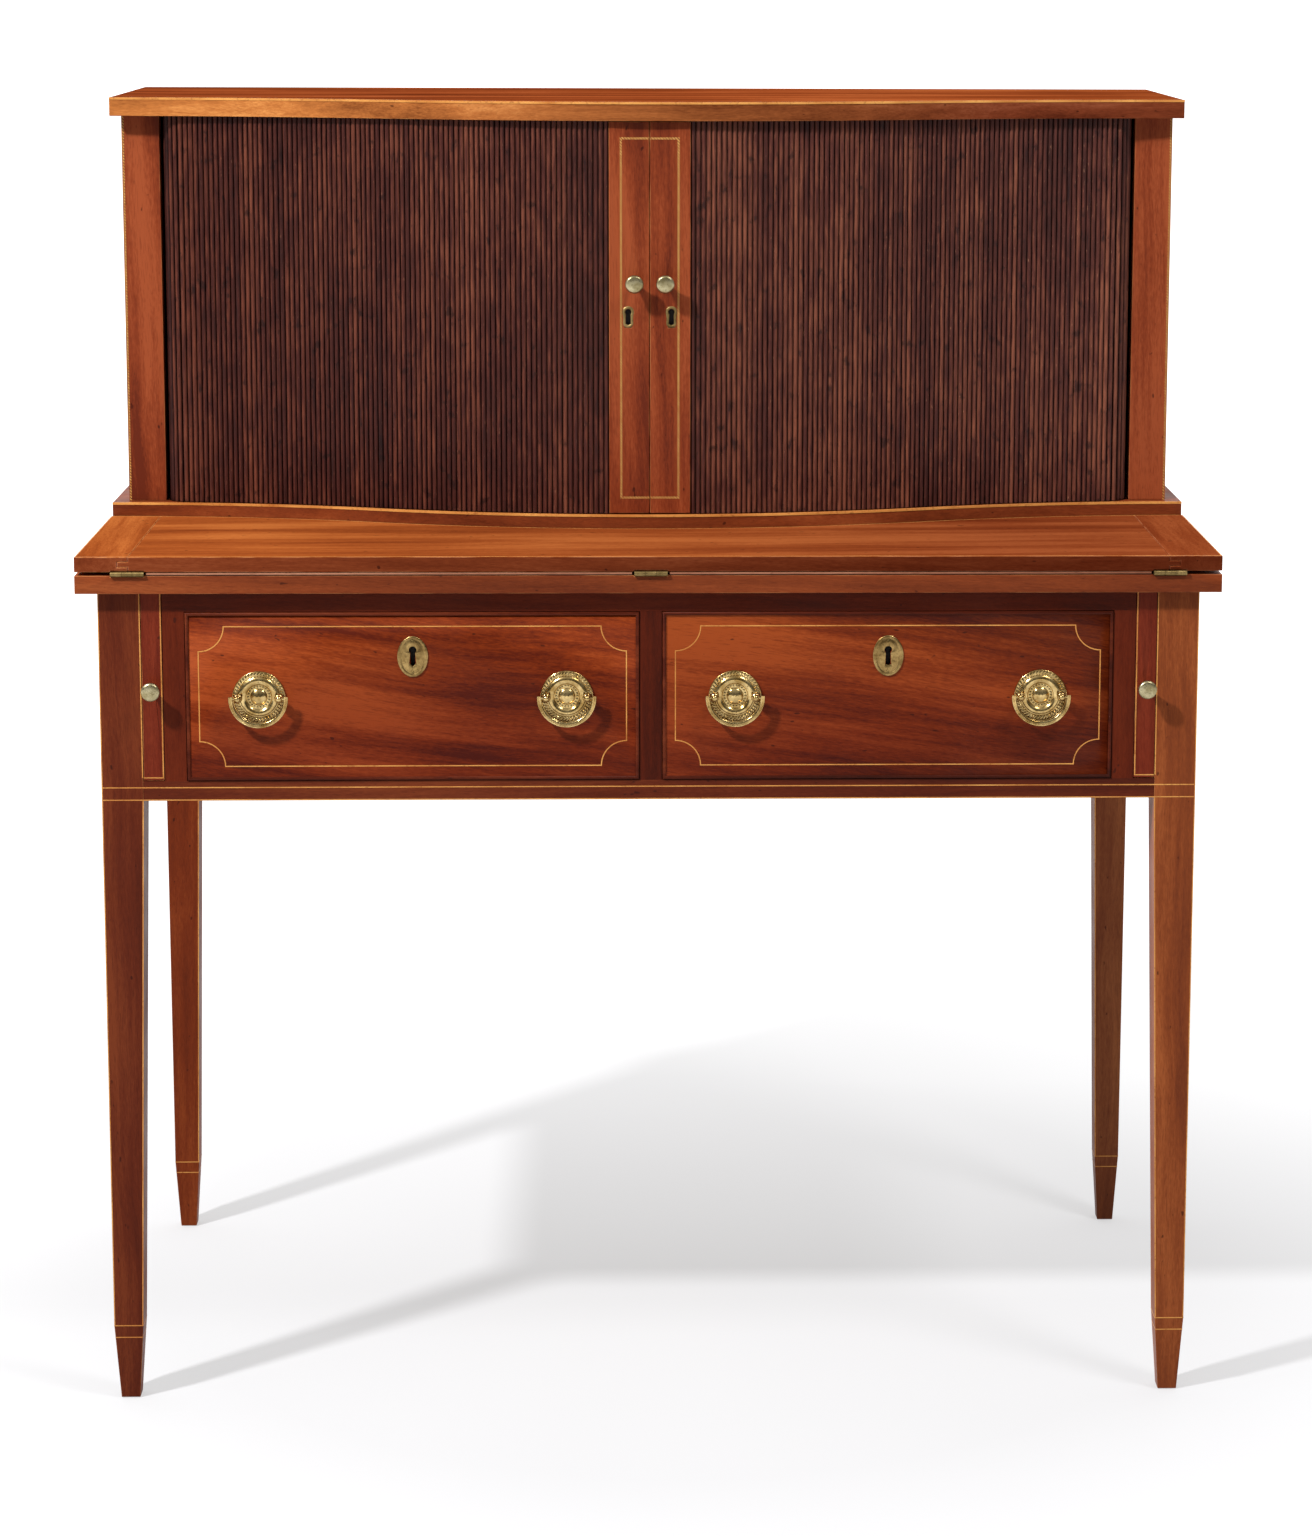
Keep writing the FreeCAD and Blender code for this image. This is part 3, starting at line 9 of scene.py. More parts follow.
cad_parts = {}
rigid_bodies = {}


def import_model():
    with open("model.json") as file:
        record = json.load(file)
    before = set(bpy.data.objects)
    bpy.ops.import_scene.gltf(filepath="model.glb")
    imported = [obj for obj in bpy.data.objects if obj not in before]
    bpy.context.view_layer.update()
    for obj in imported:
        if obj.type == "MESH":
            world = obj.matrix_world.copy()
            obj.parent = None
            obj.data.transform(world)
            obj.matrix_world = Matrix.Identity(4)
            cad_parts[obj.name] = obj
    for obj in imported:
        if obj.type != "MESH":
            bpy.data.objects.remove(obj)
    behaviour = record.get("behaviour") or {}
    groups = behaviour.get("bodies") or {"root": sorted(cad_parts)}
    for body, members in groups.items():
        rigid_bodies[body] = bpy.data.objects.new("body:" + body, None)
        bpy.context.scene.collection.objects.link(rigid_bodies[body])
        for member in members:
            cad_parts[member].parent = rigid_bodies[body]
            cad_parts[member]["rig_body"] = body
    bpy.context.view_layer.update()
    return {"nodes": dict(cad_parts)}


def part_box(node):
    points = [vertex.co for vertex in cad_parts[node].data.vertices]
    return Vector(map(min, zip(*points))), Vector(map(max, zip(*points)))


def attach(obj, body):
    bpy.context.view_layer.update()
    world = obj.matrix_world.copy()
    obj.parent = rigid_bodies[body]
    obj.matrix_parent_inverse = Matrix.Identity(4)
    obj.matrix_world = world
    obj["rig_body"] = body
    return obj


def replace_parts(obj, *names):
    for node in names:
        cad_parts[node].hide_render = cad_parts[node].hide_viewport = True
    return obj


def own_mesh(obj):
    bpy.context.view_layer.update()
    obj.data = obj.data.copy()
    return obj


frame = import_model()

# A tambour desk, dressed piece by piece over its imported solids. Lengths are in metres.
MM = 0.001
nodes = frame["nodes"]
SIDES = (("left", -1), ("right", 1))
FRONT = Vector((0, -1, 0))
UP = Vector((0, 0, 1))
X, Y, Z = range(3)


# Colours and node trees.


def tint(red, green, blue):
    """A colour given as it looks on screen, 0 to 255, as the shader wants it."""
    shades = []
    for value in (red, green, blue):
        value /= 255
        shades.append(value / 12.92 if value <= 0.04045 else ((value + 0.055) / 1.055) ** 2.4)
    return (*shades, 1.0)


class Tree:
    """A material or a world being built: adds nodes and joins them to the ones before."""

    def __init__(self, name, kind="materials"):
        self.owner = getattr(bpy.data, kind).new(name)
        self.owner.use_nodes = True
        self.nodes = self.owner.node_tree.nodes
        self.links = self.owner.node_tree.links
        self.shader = self.nodes.get("Principled BSDF")

    def feed(self, socket, value):
        """Link a socket to another, or give it a fixed value."""
        if isinstance(value, bpy.types.NodeSocket):
            self.links.new(value, socket)
        else:
            socket.default_value = value

    def add(self, kind, inputs=(), **settings):
        node = self.nodes.new(kind)
        for key, value in settings.items():
            setattr(node, key, value)
        for key, value in dict(inputs).items():
            self.feed(node.inputs[key], value)
        return node

    def place(self):
        """The point on the piece, in metres."""
        return self.add("ShaderNodeTexCoord").outputs["Object"]

    def part(self, vector, axis):
        """One coordinate of a vector: X, Y or Z."""
        return self.add("ShaderNodeSeparateXYZ", {0: vector}).outputs[axis]

    def mapped(self, where, scale, shift=(0, 0, 0), turn=(0, 0, 0)):
        inputs = {"Vector": where, "Location": shift, "Rotation": turn, "Scale": scale}
        return self.add("ShaderNodeMapping", inputs).outputs[0]

    def noise(self, where, detail=2.0, rough=0.5, output="Fac"):
        inputs = {"Vector": where, "Scale": 1.0, "Detail": detail, "Roughness": rough}
        return self.add("ShaderNodeTexNoise", inputs).outputs[output]

    def cloud(self, where, scale, detail=2.0, rough=0.5):
        """Noise of one scale every way, in waves per metre."""
        return self.noise(self.mapped(where, (scale, scale, scale)), detail, rough)

    def grained(self, where, grain, pattern, output="Fac"):
        """Noise that is drawn out along the grain."""
        along, across, detail, rough = PATTERNS[pattern]
        return self.noise(self.mapped(where, stretched(grain, along, across)), detail, rough, output)

    def ramp(self, amount, stops):
        """A colour for each amount: stops are (place, colour)."""
        node = self.add("ShaderNodeValToRGB", {"Fac": amount})
        band = node.color_ramp
        band.elements[0].position, band.elements[0].color = stops[0]
        band.elements[1].position, band.elements[1].color = stops[-1]
        for place, colour in stops[1:-1]:
            band.elements.new(place).color = colour
        return node.outputs["Color"]

    def level(self, amount, low, high, to_low=0.0, to_high=1.0):
        """Stretch a range of amounts over another, held at its ends."""
        inputs = {"Value": amount, "From Min": low, "From Max": high, "To Min": to_low, "To Max": to_high}
        return self.add("ShaderNodeMapRange", inputs).outputs[0]

    def mix(self, share, first, second, blend="MIX"):
        node = self.add("ShaderNodeMix", data_type="RGBA", blend_type=blend)
        for index, value in ((0, share), (6, first), (7, second)):
            self.feed(node.inputs[index], value)
        return node.outputs[2]

    def math(self, operation, *values):
        node = self.add("ShaderNodeMath", operation=operation)
        for socket, value in zip(node.inputs, values):
            self.feed(socket, value)
        return node.outputs[0]

    def blend(self, *parts):
        """The sum of several amounts, each times its share."""
        total = 0.0
        for share, amount in parts:
            total = self.math("MULTIPLY_ADD", amount, share, total)
        return total

    def bump(self, height, strength, distance):
        node = self.add("ShaderNodeBump", {"Height": height, "Strength": strength, "Distance": distance})
        self.links.new(node.outputs[0], self.shader.inputs["Normal"])

    def finish(self, colour, rough, **fixed):
        """Join the colour and roughness to the shader, and set what is the same all over."""
        self.feed(self.shader.inputs["Base Color"], colour)
        self.feed(self.shader.inputs["Roughness"], rough)
        for key, value in fixed.items():
            self.shader.inputs[key.replace("_", " ")].default_value = value
        return self.owner


def stretched(grain, along, across):
    """Scales that draw a pattern out along the grain, which is X, Y or Z."""
    return tuple(along if axis == grain else across for axis in range(3))


# Patterns in wood: waves per metre along and across the grain, then the noise's detail and roughness.
PATTERNS = {
    "sway": (5, 9, 1.0, 0.5),
    "broad": (2.0, 30, 3.0, 0.55),
    "lines": (8, 240, 2.0, 0.6),
    "fleck": (160, 900, 2.0, 0.6),
    "pore": (70, 1500, 1.0, 0.4),
    "spot": (110, 230, 1.0, 0.5),
    "rubbed": (30, 200, 3.0, 0.6),
}
SWAY = 16 * MM  # how far lines in the figure bend
FIGURE_REACH = 0.105  # from the middle colour to the darkest or the lightest, at a figure of 1

# Polished mahogany: dark, middle and light colours, strength of figure, of pores, and roughness.
WOODS = {
    "top": ((102, 42, 16), (134, 63, 26), (161, 86, 40), 1.0, 0.3, 0.34),
    "lid": ((103, 47, 21), (145, 73, 35), (176, 100, 54), 1.0, 0.3, 0.34),
    "case": ((91, 38, 18), (126, 58, 28), (155, 81, 42), 0.8, 0.4, 0.38),
    "loper": ((75, 22, 11), (105, 36, 19), (129, 51, 29), 1.0, 0.4, 0.38),
    # The four leg colours are lit and shaded copies of one wood: each is painted lighter, darker or
    # greyer as that leg is lit.
    "leg": ((68, 24, 12), (91, 35, 17), (116, 53, 27), 0.9, 0.4, 0.42),
    "leg_warm": ((100, 46, 25), (132, 65, 32), (167, 91, 47), 0.9, 0.4, 0.42),
    "leg_pale": ((85, 31, 13), (113, 45, 18), (142, 66, 29), 0.9, 0.4, 0.42),
    "leg_grey": ((88, 43, 27), (116, 61, 35), (147, 87, 51), 0.9, 0.4, 0.42),
    "drawer": ((78, 22, 10), (118, 42, 15), (149, 62, 27), 1.3, 0.35, 0.34),
    "stile": ((97, 38, 20), (127, 55, 28), (149, 72, 40), 1.6, 0.35, 0.36),
    "fold": ((116, 70, 50), (150, 98, 74), (178, 124, 96), 1.0, 0.4, 0.5),
    # On the top rail this dark wood is painted shade under the overhang of the bed board.
    "dark": ((58, 17, 6), (86, 28, 10), (107, 40, 17), 0.9, 0.3, 0.45),
    "bead": ((48, 16, 8), (78, 28, 14), (116, 52, 28), 0.8, 0.2, 0.4),
    "inner": ((140, 92, 52), (170, 122, 76), (192, 148, 100), 0.9, 0.3, 0.6),
}
# Painted light and shade across a board: how much its colours are raised or lowered at its left end and
# at its right end, as light falls there, its upright edges first, and then its top.
PAINTED_LIGHT_REACH = 0.3
PAINTED_LIGHT_ACROSS = {
    "top": (
        (0.8, 0.79, 1.24, 1), (0.36, 0.27, 0.4, 1),
        (1.1, 1.2, 1.18, 1), (0.75, 0.7, 0.9, 1),
    ),
    "lid": (
        (1.61, 2.28, 2.22, 1), (0.59, 0.54, 0.8, 1),
        (0.68, 0.57, 0.56, 1), (0.74, 0.62, 0.56, 1),
    ),
}
# Boards darker low down than higher up: from and to where, and how much at each end. On the fold strips
# the dark line along their foot is a painted shadow of the gap below them; the drawer fronts are darker
# towards the bottom and paler towards the top.
fold_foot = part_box("fold_strips")[0].z
drawer_foot, drawer_head = (corner.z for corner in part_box("drawer_left_front"))
DARKER_BELOW = {
    "fold": (fold_foot + 0.7 * MM, fold_foot + 1.1 * MM, (0.1, 0.08, 0.08, 1), (1, 1, 1, 1)),
    "drawer": (
        drawer_foot + 28.4 * MM, drawer_head - 6.6 * MM,
        (0.76, 0.72, 0.74, 1), (1.12, 1.3, 1.1, 1),
    ),
}
SLOPE = 0.035  # how far the grain of a board wanders from its length, in radians
SLANT = {"drawer": -0.13}  # boards cut with their grain falling to one side
GLOSS = 0.08  # share of the usual mirroring that old polish keeps
DULL = ("top", "lid")  # boards rubbed dull by use
made_woods = {}


def wood(kind, grain, seed, worn=False):
    """A polished board: figure, lines and pores run along the grain, and worn edges are paler. Some kinds
    also get painted light and shade across the board, and some are darker low down.
    """
    key = (kind, grain, seed, worn)
    if key in made_woods:
        return made_woods[key]
    *shades, figured, pores, rough = WOODS[kind]
    dark, middle, light = (tint(*shade) for shade in shades)
    chance = random.Random(seed)
    shift = tuple(chance.uniform(-9, 9) for _ in range(3))
    turn = [chance.choice((-1, 1)) * chance.uniform(0.3, 1) * SLOPE for _ in range(3)]
    turn[Y] = SLANT.get(kind, turn[Y])
    tree = Tree(f"{kind}_{'xyz'[grain]}_{seed}{'_worn' if worn else ''}")
    here = tree.mapped(tree.place(), (1, 1, 1), shift, turn)
    sway = {0: tree.grained(here, grain, "sway", "Color"), 1: stretched(grain, 0, SWAY), 2: here}
    bent = tree.add("ShaderNodeVectorMath", sway, operation="MULTIPLY_ADD").outputs[0]
    broad, lines, fleck, pore = (
        tree.grained(bent, grain, pattern) for pattern in ("broad", "lines", "fleck", "pore")
    )
    slow = tree.cloud(here, 4)
    figure = tree.blend((0.48, broad), (0.14, lines), (0.24, slow), (0.14, fleck))
    reach = FIGURE_REACH / figured
    colour = tree.ramp(figure, ((0.5 - reach, dark), (0.5, middle), (0.5 + reach, light)))
    hole = tree.level(pore, 0.58, 0.70)
    colour = tree.mix(tree.math("MULTIPLY", hole, pores), colour, dark)
    spot = tree.level(tree.grained(here, grain, "spot"), 0.74, 0.79, 0.0, 0.7)
    colour = tree.mix(spot, colour, tint(44, 16, 10))
    if worn:
        rubbed = tree.level(tree.grained(here, grain, "rubbed"), 0.4, 0.62, 0.0, 0.55)
        colour = tree.mix(rubbed, colour, tint(196, 128, 76))
    # Darker low down: on the fold strips this is a painted shadow along their foot.
    if kind in DARKER_BELOW:
        low, high, foot, head = DARKER_BELOW[kind]
        share = tree.level(tree.part(tree.place(), "Z"), low, high)
        colour = tree.mix(1.0, colour, tree.mix(share, foot, head), "MULTIPLY")
    # Painted light and shade across the board, its upright edges apart from its top.
    if kind in PAINTED_LIGHT_ACROSS:
        share = tree.level(tree.part(tree.place(), "X"), -PAINTED_LIGHT_REACH, PAINTED_LIGHT_REACH)
        left_edge, right_edge, left_top, right_top = PAINTED_LIGHT_ACROSS[kind]
        edge, face = tree.mix(share, left_edge, right_edge), tree.mix(share, left_top, right_top)
        facing = tree.part(tree.add("ShaderNodeTexCoord").outputs["Normal"], "Z")
        level = tree.level(tree.math("ABSOLUTE", facing), 0.3, 0.6)
        colour = tree.mix(1.0, colour, tree.mix(level, edge, face), "MULTIPLY")
    handled = tree.cloud(here, 16, 4.0, 0.6)
    roughness = tree.level(handled, 0.3, 0.7, rough - 0.07, rough + 0.1)
    relief = tree.math("SUBTRACT", tree.math("MULTIPLY", lines, 0.35), hole)
    tree.bump(relief, 0.14, 0.25 * MM)
    material = tree.finish(colour, roughness, Specular_IOR_Level=0.0 if kind in DULL else GLOSS)
    made_woods[key] = material
    return material


def old_metal(name, low, high, grime, rough, metal=1.0):
    """Old metal: two shades in cloudy patches, darker where dirt has settled."""
    tree = Tree(name)
    here = tree.place()
    cloud = tree.cloud(here, 90, 4.0, 0.6)
    colour = tree.ramp(cloud, ((0.36, low), (0.62, high)))
    spots = tree.cloud(here, 600, 3.0, 0.6)
    colour = tree.mix(tree.level(spots, 0.56, 0.74, 0.0, 0.7), colour, grime)
    roughness = tree.level(spots, 0.3, 0.7, rough - 0.06, rough + 0.16)
    tree.bump(spots, 0.12, 0.1 * MM)
    return tree.finish(colour, roughness, Metallic=metal)


BRASS = old_metal("aged_brass", tint(151, 120, 67), tint(206, 179, 123), tint(75, 48, 20), 0.16)
KNOB_BRASS = old_metal("knob_brass", tint(141, 129, 92), tint(184, 174, 139), tint(90, 78, 49), 0.3)
PLATE_BRASS = old_metal("plate_brass", tint(112, 88, 50), tint(164, 136, 86), tint(62, 46, 24), 0.3)
DULL_BRASS = old_metal("dull_brass", tint(96, 80, 46), tint(146, 124, 80), tint(52, 40, 26), 0.44)
# Near-black iron for the lock cases: painted shade, so that the keyholes in front of them look dark.
SHADED_IRON = old_metal("shaded_iron", tint(26, 24, 22), tint(44, 41, 38), tint(40, 24, 16), 0.6, 0.6)
IRON = old_metal("old_iron", tint(84, 80, 74), tint(118, 112, 104), tint(78, 50, 34), 0.5)


def boxwood():
    """Light inlaid wood with darker flecks, yellowed by its polish."""
    tree = Tree("boxwood")
    here = tree.place()
    fleck = tree.cloud(here, 320, 3.0, 0.6)
    slow = tree.cloud(here, 26)
    colour = tree.ramp(slow, ((0.3, tint(186, 116, 52)), (0.7, tint(224, 160, 84))))
    colour = tree.mix(tree.level(fleck, 0.54, 0.72, 0.0, 0.6), colour, tint(132, 70, 30))
    return tree.finish(colour, tree.level(fleck, 0.3, 0.7, 0.34, 0.5), Specular_IOR_Level=0.2)


ROPE_PITCH = 2.6 * MM


def rope_band():
    """Banding of slanted light and dark slips, as on a rope."""
    tree = Tree("rope_band")
    here = tree.place()
    slant = tree.math("ADD", tree.part(here, "X"), tree.part(here, "Z"))
    turn = tree.math("FRACT", tree.math("DIVIDE", slant, ROPE_PITCH))
    share = tree.math("SUBTRACT", tree.level(turn, 0.34, 0.44), tree.level(turn, 0.9, 1.0))
    fleck = tree.cloud(here, 300, 3.0, 0.6)
    pale = tree.ramp(fleck, ((0.35, tint(222, 168, 92)), (0.65, tint(186, 126, 60))))
    deep = tree.ramp(fleck, ((0.35, tint(64, 30, 16)), (0.65, tint(96, 48, 26))))
    rough = tree.level(fleck, 0.3, 0.7, 0.34, 0.5)
    return tree.finish(tree.mix(share, deep, pale), rough, Specular_IOR_Level=0.2)


# Painted light across the tambour: the reeds are darker at the left and lighter and greyer at the right,
# as light falls on them.
REED_LIGHT_ACROSS = ((0.84, 0.86, 0.92, 1), (1.4, 1.74, 1.9, 1))  # at the left and at the right


def reed_wood():
    """Dark polished reeds, each of its own tone, with patches of dirt, and painted shade down their sides
    and in the gaps between them, so that the crowns stand out lighter.
    """
    tree = Tree("tambour_reeds")
    here = tree.place()
    tone = tree.add("ShaderNodeAttribute", attribute_name="tone").outputs["Fac"]
    crown = tree.add("ShaderNodeAttribute", attribute_name="crown").outputs["Fac"]
    streak = tree.noise(tree.mapped(here, (420, 420, 36)), 3.0, 0.6)
    blotch = tree.noise(tree.mapped(here, (34, 34, 26)), 3.0, 0.6)
    patch = tree.noise(tree.mapped(here, (5, 5, 3)), 2.0)
    amount = tree.blend((0.14, tone), (0.42, streak), (0.18, blotch), (0.26, patch))
    stops = ((0.34, tint(34, 15, 13)), (0.5, tint(72, 33, 26)), (0.66, tint(120, 64, 45)))
    colour = tree.ramp(amount, stops)
    # Painted shade: the sides of each reed and the gaps between reeds go near black.
    colour = tree.mix(tree.level(crown, 0.45, 0.95, 0.92, 0.0), colour, tint(16, 6, 5))
    dirt = tree.noise(tree.mapped(here, (110, 110, 80)), 3.0, 0.6)
    colour = tree.mix(tree.level(dirt, 0.6, 0.7, 0.0, 0.7), colour, tint(24, 13, 12))
    speck = tree.noise(tree.mapped(here, (900, 900, 200)), 2.0)
    colour = tree.mix(tree.level(speck, 0.68, 0.78, 0.0, 0.5), colour, tint(150, 96, 70))
    # Painted light: darker at the left, lighter and greyer at the right.
    share = tree.level(tree.part(here, "X"), -0.4, 0.4)
    colour = tree.mix(1.0, colour, tree.mix(share, *REED_LIGHT_ACROSS), "MULTIPLY")
    tree.bump(streak, 0.2, 0.25 * MM)
    rough = tree.level(streak, 0.3, 0.7, 0.28, 0.46)
    return tree.finish(colour, rough, Specular_IOR_Level=0.12)


def linen():
    """Coarse linen behind the reeds."""
    tree = Tree("tambour_canvas")
    here = tree.place()
    threads = {"Vector": here, "Scale": 320.0, "Distortion": 1.0}
    weave = tree.add("ShaderNodeTexWave", threads, bands_direction="Z")
    patch = tree.cloud(here, 30, 3.0)
    colour = tree.ramp(patch, ((0.3, tint(120, 96, 66)), (0.7, tint(158, 132, 96))))
    tree.bump(weave.outputs["Fac"], 0.3, 0.3 * MM)
    return tree.finish(colour, tree.level(patch, 0.0, 1.0, 0.8, 0.95))


BOXWOOD = boxwood()
ROPE = rope_band()
REEDS = reed_wood()
LINEN = linen()


# Making pieces.


def stand(name, data):
    """A new object in the scene."""
    thing = bpy.data.objects.new(name, data)
    bpy.context.scene.collection.objects.link(thing)
    return thing


def new_piece(name, shape, material, body, sharp=35):
    """Turn a finished shape into a piece that rides on a body of the frame."""
    bmesh.ops.recalc_face_normals(shape, faces=shape.faces)
    mesh = bpy.data.meshes.new(name)
    shape.to_mesh(mesh)
    shape.free()
    mesh.materials.append(material)
    mesh.polygons.foreach_set("use_smooth", [True] * len(mesh.polygons))
    mesh.set_sharp_from_angle(angle=math.radians(sharp))
    piece = stand(name, mesh)
    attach(piece, body)
    return piece


def soften(piece, width, worn=None):
    """Round the sharp edges of a piece a little, and show wear on them."""
    edge = piece.modifiers.new("edges", "BEVEL")
    edge.width = width
    edge.segments = 2
    edge.limit_method = "ANGLE"
    edge.angle_limit = math.radians(35)
    edge.use_clamp_overlap = False
    edge.harden_normals = True
    if worn:
        piece.data.materials.append(worn)
        edge.material = 1


HAIR = 0.01 * MM  # points nearer to each other than this are one


def dress(name, material, width=0.0, worn=None, planed=0.0):
    """Stand a clean copy of a solid in its place, with softened edges and its top planed down a hair."""
    source = nodes[name]
    shape = bmesh.new()
    shape.from_mesh(source.data)
    top = max(corner.co.z for corner in shape.verts)
    for corner in shape.verts:
        if corner.co.z > top - HAIR:
            corner.co.z -= planed
    bmesh.ops.remove_doubles(shape, verts=shape.verts, dist=HAIR)
    flat = math.radians(0.5)
    bmesh.ops.dissolve_limit(shape, angle_limit=flat, verts=shape.verts, edges=shape.edges)
    piece = new_piece(f"{name}_dressed", shape, material, source["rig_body"])
    if width:
        soften(piece, width, worn)
    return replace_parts(piece, name)


def ring(node, height):
    """The low and high corners of a solid's outline at one height."""
    level = [v.co for v in nodes[node].data.vertices if abs(v.co.z - height) < 0.3 * MM]
    low = Vector((min(p.x for p in level), min(p.y for p in level), height))
    high = Vector((max(p.x for p in level), max(p.y for p in level), height))
    return low, high


PROUD = 0.07 * MM  # an inlaid strip above the wood round it
SUNK = 0.3 * MM  # and below


def strip(shape, line, facing, width, closed, proud):
    """Lay a flat strip along a line, mitred at its turns, standing a little proud of its bed."""
    line = [Vector(point) for point in line]
    count = len(line)
    facings = facing if isinstance(facing, list) else [facing] * count
    rings = []
    for index, point in enumerate(line):
        out = Vector(facings[index]).normalized()
        runs = []
        if closed or index:
            runs.append((point - line[index - 1]).normalized())
        if closed or index < count - 1:
            runs.append((line[(index + 1) % count] - point).normalized())
        sides = [run.cross(out) for run in runs]
        across = sum(sides, Vector()).normalized()
        across *= width / 2 / max(0.3, across.dot(sides[0]))
        foot, head = out * SUNK, out * proud
        corners = (-across - foot, -across + head, across + head, across - foot)
        rings.append([shape.verts.new(point + corner) for corner in corners])
    spans = list(zip(rings, rings[1:]))
    if closed:
        spans.append((rings[-1], rings[0]))
    else:
        shape.faces.new(rings[0])
        shape.faces.new(rings[-1][::-1])
    for first, second in spans:
        for near in range(3):
            shape.faces.new((first[near], first[near + 1], second[near + 1], second[near]))


def inlay(name, body, strips, material=BOXWOOD, proud=PROUD):
    """Several strips let into one body, each a (line, facing, width, closed)."""
    shape = bmesh.new()
    for line, facing, width, closed in strips:
        strip(shape, line, facing, width, closed, proud)
    return new_piece(name, shape, material, body, 30)


def circle(radius, count):
    """Points at equal distances round a circle."""
    turns = [2 * math.pi * index / count for index in range(count)]
    return [(radius * math.cos(turn), radius * math.sin(turn)) for turn in turns]


def bridge(shape, first, second):
    """Join two closed loops of points with a band of faces."""
    for index in range(len(first)):
        after = (index + 1) % len(first)
        shape.faces.new((first[index], first[after], second[after], second[index]))


def tube(shape, loops, closed=True):
    """Join several closed loops of points one after another, and close both ends."""
    for first, second in zip(loops, loops[1:]):
        bridge(shape, first, second)
    if closed:
        shape.faces.new(loops[0])
        shape.faces.new(loops[-1][::-1])


def turned(name, body, centre, profile, material, count=48, node=None):
    """A piece turned about a line square to the front: profile is (radius, distance forward)."""
    shape = bmesh.new()
    rings = []
    for radius, forward in profile:
        points = circle(radius, count) if radius else [(0, 0)]
        rings.append([shape.verts.new(centre + Vector((x, -forward, z))) for x, z in points])
    for first, second in zip(rings, rings[1:]):
        if len(first) == len(second):
            bridge(shape, first, second)
            continue
        for index in range(count):
            after = (index + 1) % count
            if len(first) == 1:
                shape.faces.new((first[0], second[index], second[after]))
            else:
                shape.faces.new((first[index], first[after], second[0]))
    piece = new_piece(name, shape, material, body, 40)
    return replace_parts(piece, node) if node else piece


def flowing(points, steps=5):
    """A smooth line through a few points."""
    line = [points[0]]
    padded = [points[0], *points, points[-1]]
    for before, start, end, after in zip(padded, padded[1:], padded[2:], padded[3:]):
        for step in range(1, steps + 1):
            t = step / steps
            spot = []
            for a, b, c, d in zip(before, start, end, after):
                bend, twist = 2 * a - 5 * b + 4 * c - d, 3 * b - a - 3 * c + d
                spot.append(0.5 * (2 * b + (c - a) * t + bend * t * t + twist * t ** 3))
            line.append(tuple(spot))
    return line


# The woodwork.


def sided(name):
    """A name, or the left and then the right one where it has a star."""
    return [name.replace("*", label) for label, _ in SIDES] if "*" in name else [name]


EDGE = 0.5 * MM  # rounding of the boards' edges
LEAF_EDGE = 0.8 * MM
STRUNG = ("upper_base", "upper_top")  # boards with a line along their front edge
PLANED = 0.12 * MM  # taken off their tops, so that the line stands proud and still ends at the solid
for name, kind, grain, seed, width in (
    # Each leg has its own copy of the wood, painted lighter or darker as that leg is lit.
    ("leg_front_left", "leg", Z, 1, EDGE),
    ("leg_front_right", "leg_warm", Z, 44, EDGE),
    ("leg_rear_left", "leg_pale", Z, 3, EDGE),
    ("leg_rear_right", "leg_grey", Z, 4, EDGE),
    ("side_panel_*", "case", Y, 5, 0),
    ("back_panel", "case", X, 7, 0),
    # The top rail's dark wood is painted shade under the overhang of the bed board.
    ("top_rail", "dark", X, 8, 0),
    ("bottom_rail", "leg", X, 9, 0),
    ("drawer_divider", "dark", Z, 10, 0),
    ("loper_partitions", "dark", Z, 11, 0),
    ("drawer_runners", "inner", Y, 12, 0),
    ("bed_board", "case", X, 13, EDGE),
    ("fold_strips", "fold", X, 14, 0),
    ("upper_base", "case", X, 15, EDGE),
    ("upper_top", "lid", X, 16, EDGE),
    ("upper_side_*", "case", Z, 17, 0),
    ("upper_back", "case", X, 19, 0),
    ("pilaster_left", "stile", Z, 21, EDGE),
    ("pilaster_right", "stile", Z, 21, EDGE),
    ("inner_sides", "case", Z, 22, EDGE),
    ("pigeonholes", "case", X, 23, 0),
    ("writing_leaf", "top", X, 24, LEAF_EDGE),
    ("leaf_breadboard_ends", "top", Y, 25, LEAF_EDGE),
    ("loper_*", "loper", Z, 26, EDGE),
    ("lead_stile_*", "stile", Z, 28, EDGE),
    ("drawer_*_front", "drawer", X, 30, 0),
    ("drawer_*_box", "inner", Y, 32, 0),
    ("drawer_*_bottom", "inner", X, 34, 0),
    ("drawer_*_cock_bead", "bead", X, 36, 0),
):
    for each, node in enumerate(sided(name), seed):
        worn = wood(kind, grain, each, worn=True) if width else None
        dress(node, wood(kind, grain, each), width, worn, PLANED if node in STRUNG else 0.0)

for name, metal in (
    ("bed_hinge_plates", DULL_BRASS),
    ("leaf_hinge_plates", DULL_BRASS),
    # The lock cases are painted near black as the shade seen through the keyholes.
    ("lead_lock_*", SHADED_IRON),
    ("drawer_*_lock_case", SHADED_IRON),
    ("drawer_*_lock_bolt", IRON),
):
    for node in sided(name):
        dress(node, metal)


# Light strings let into the legs, the case, the boards and the drawers.

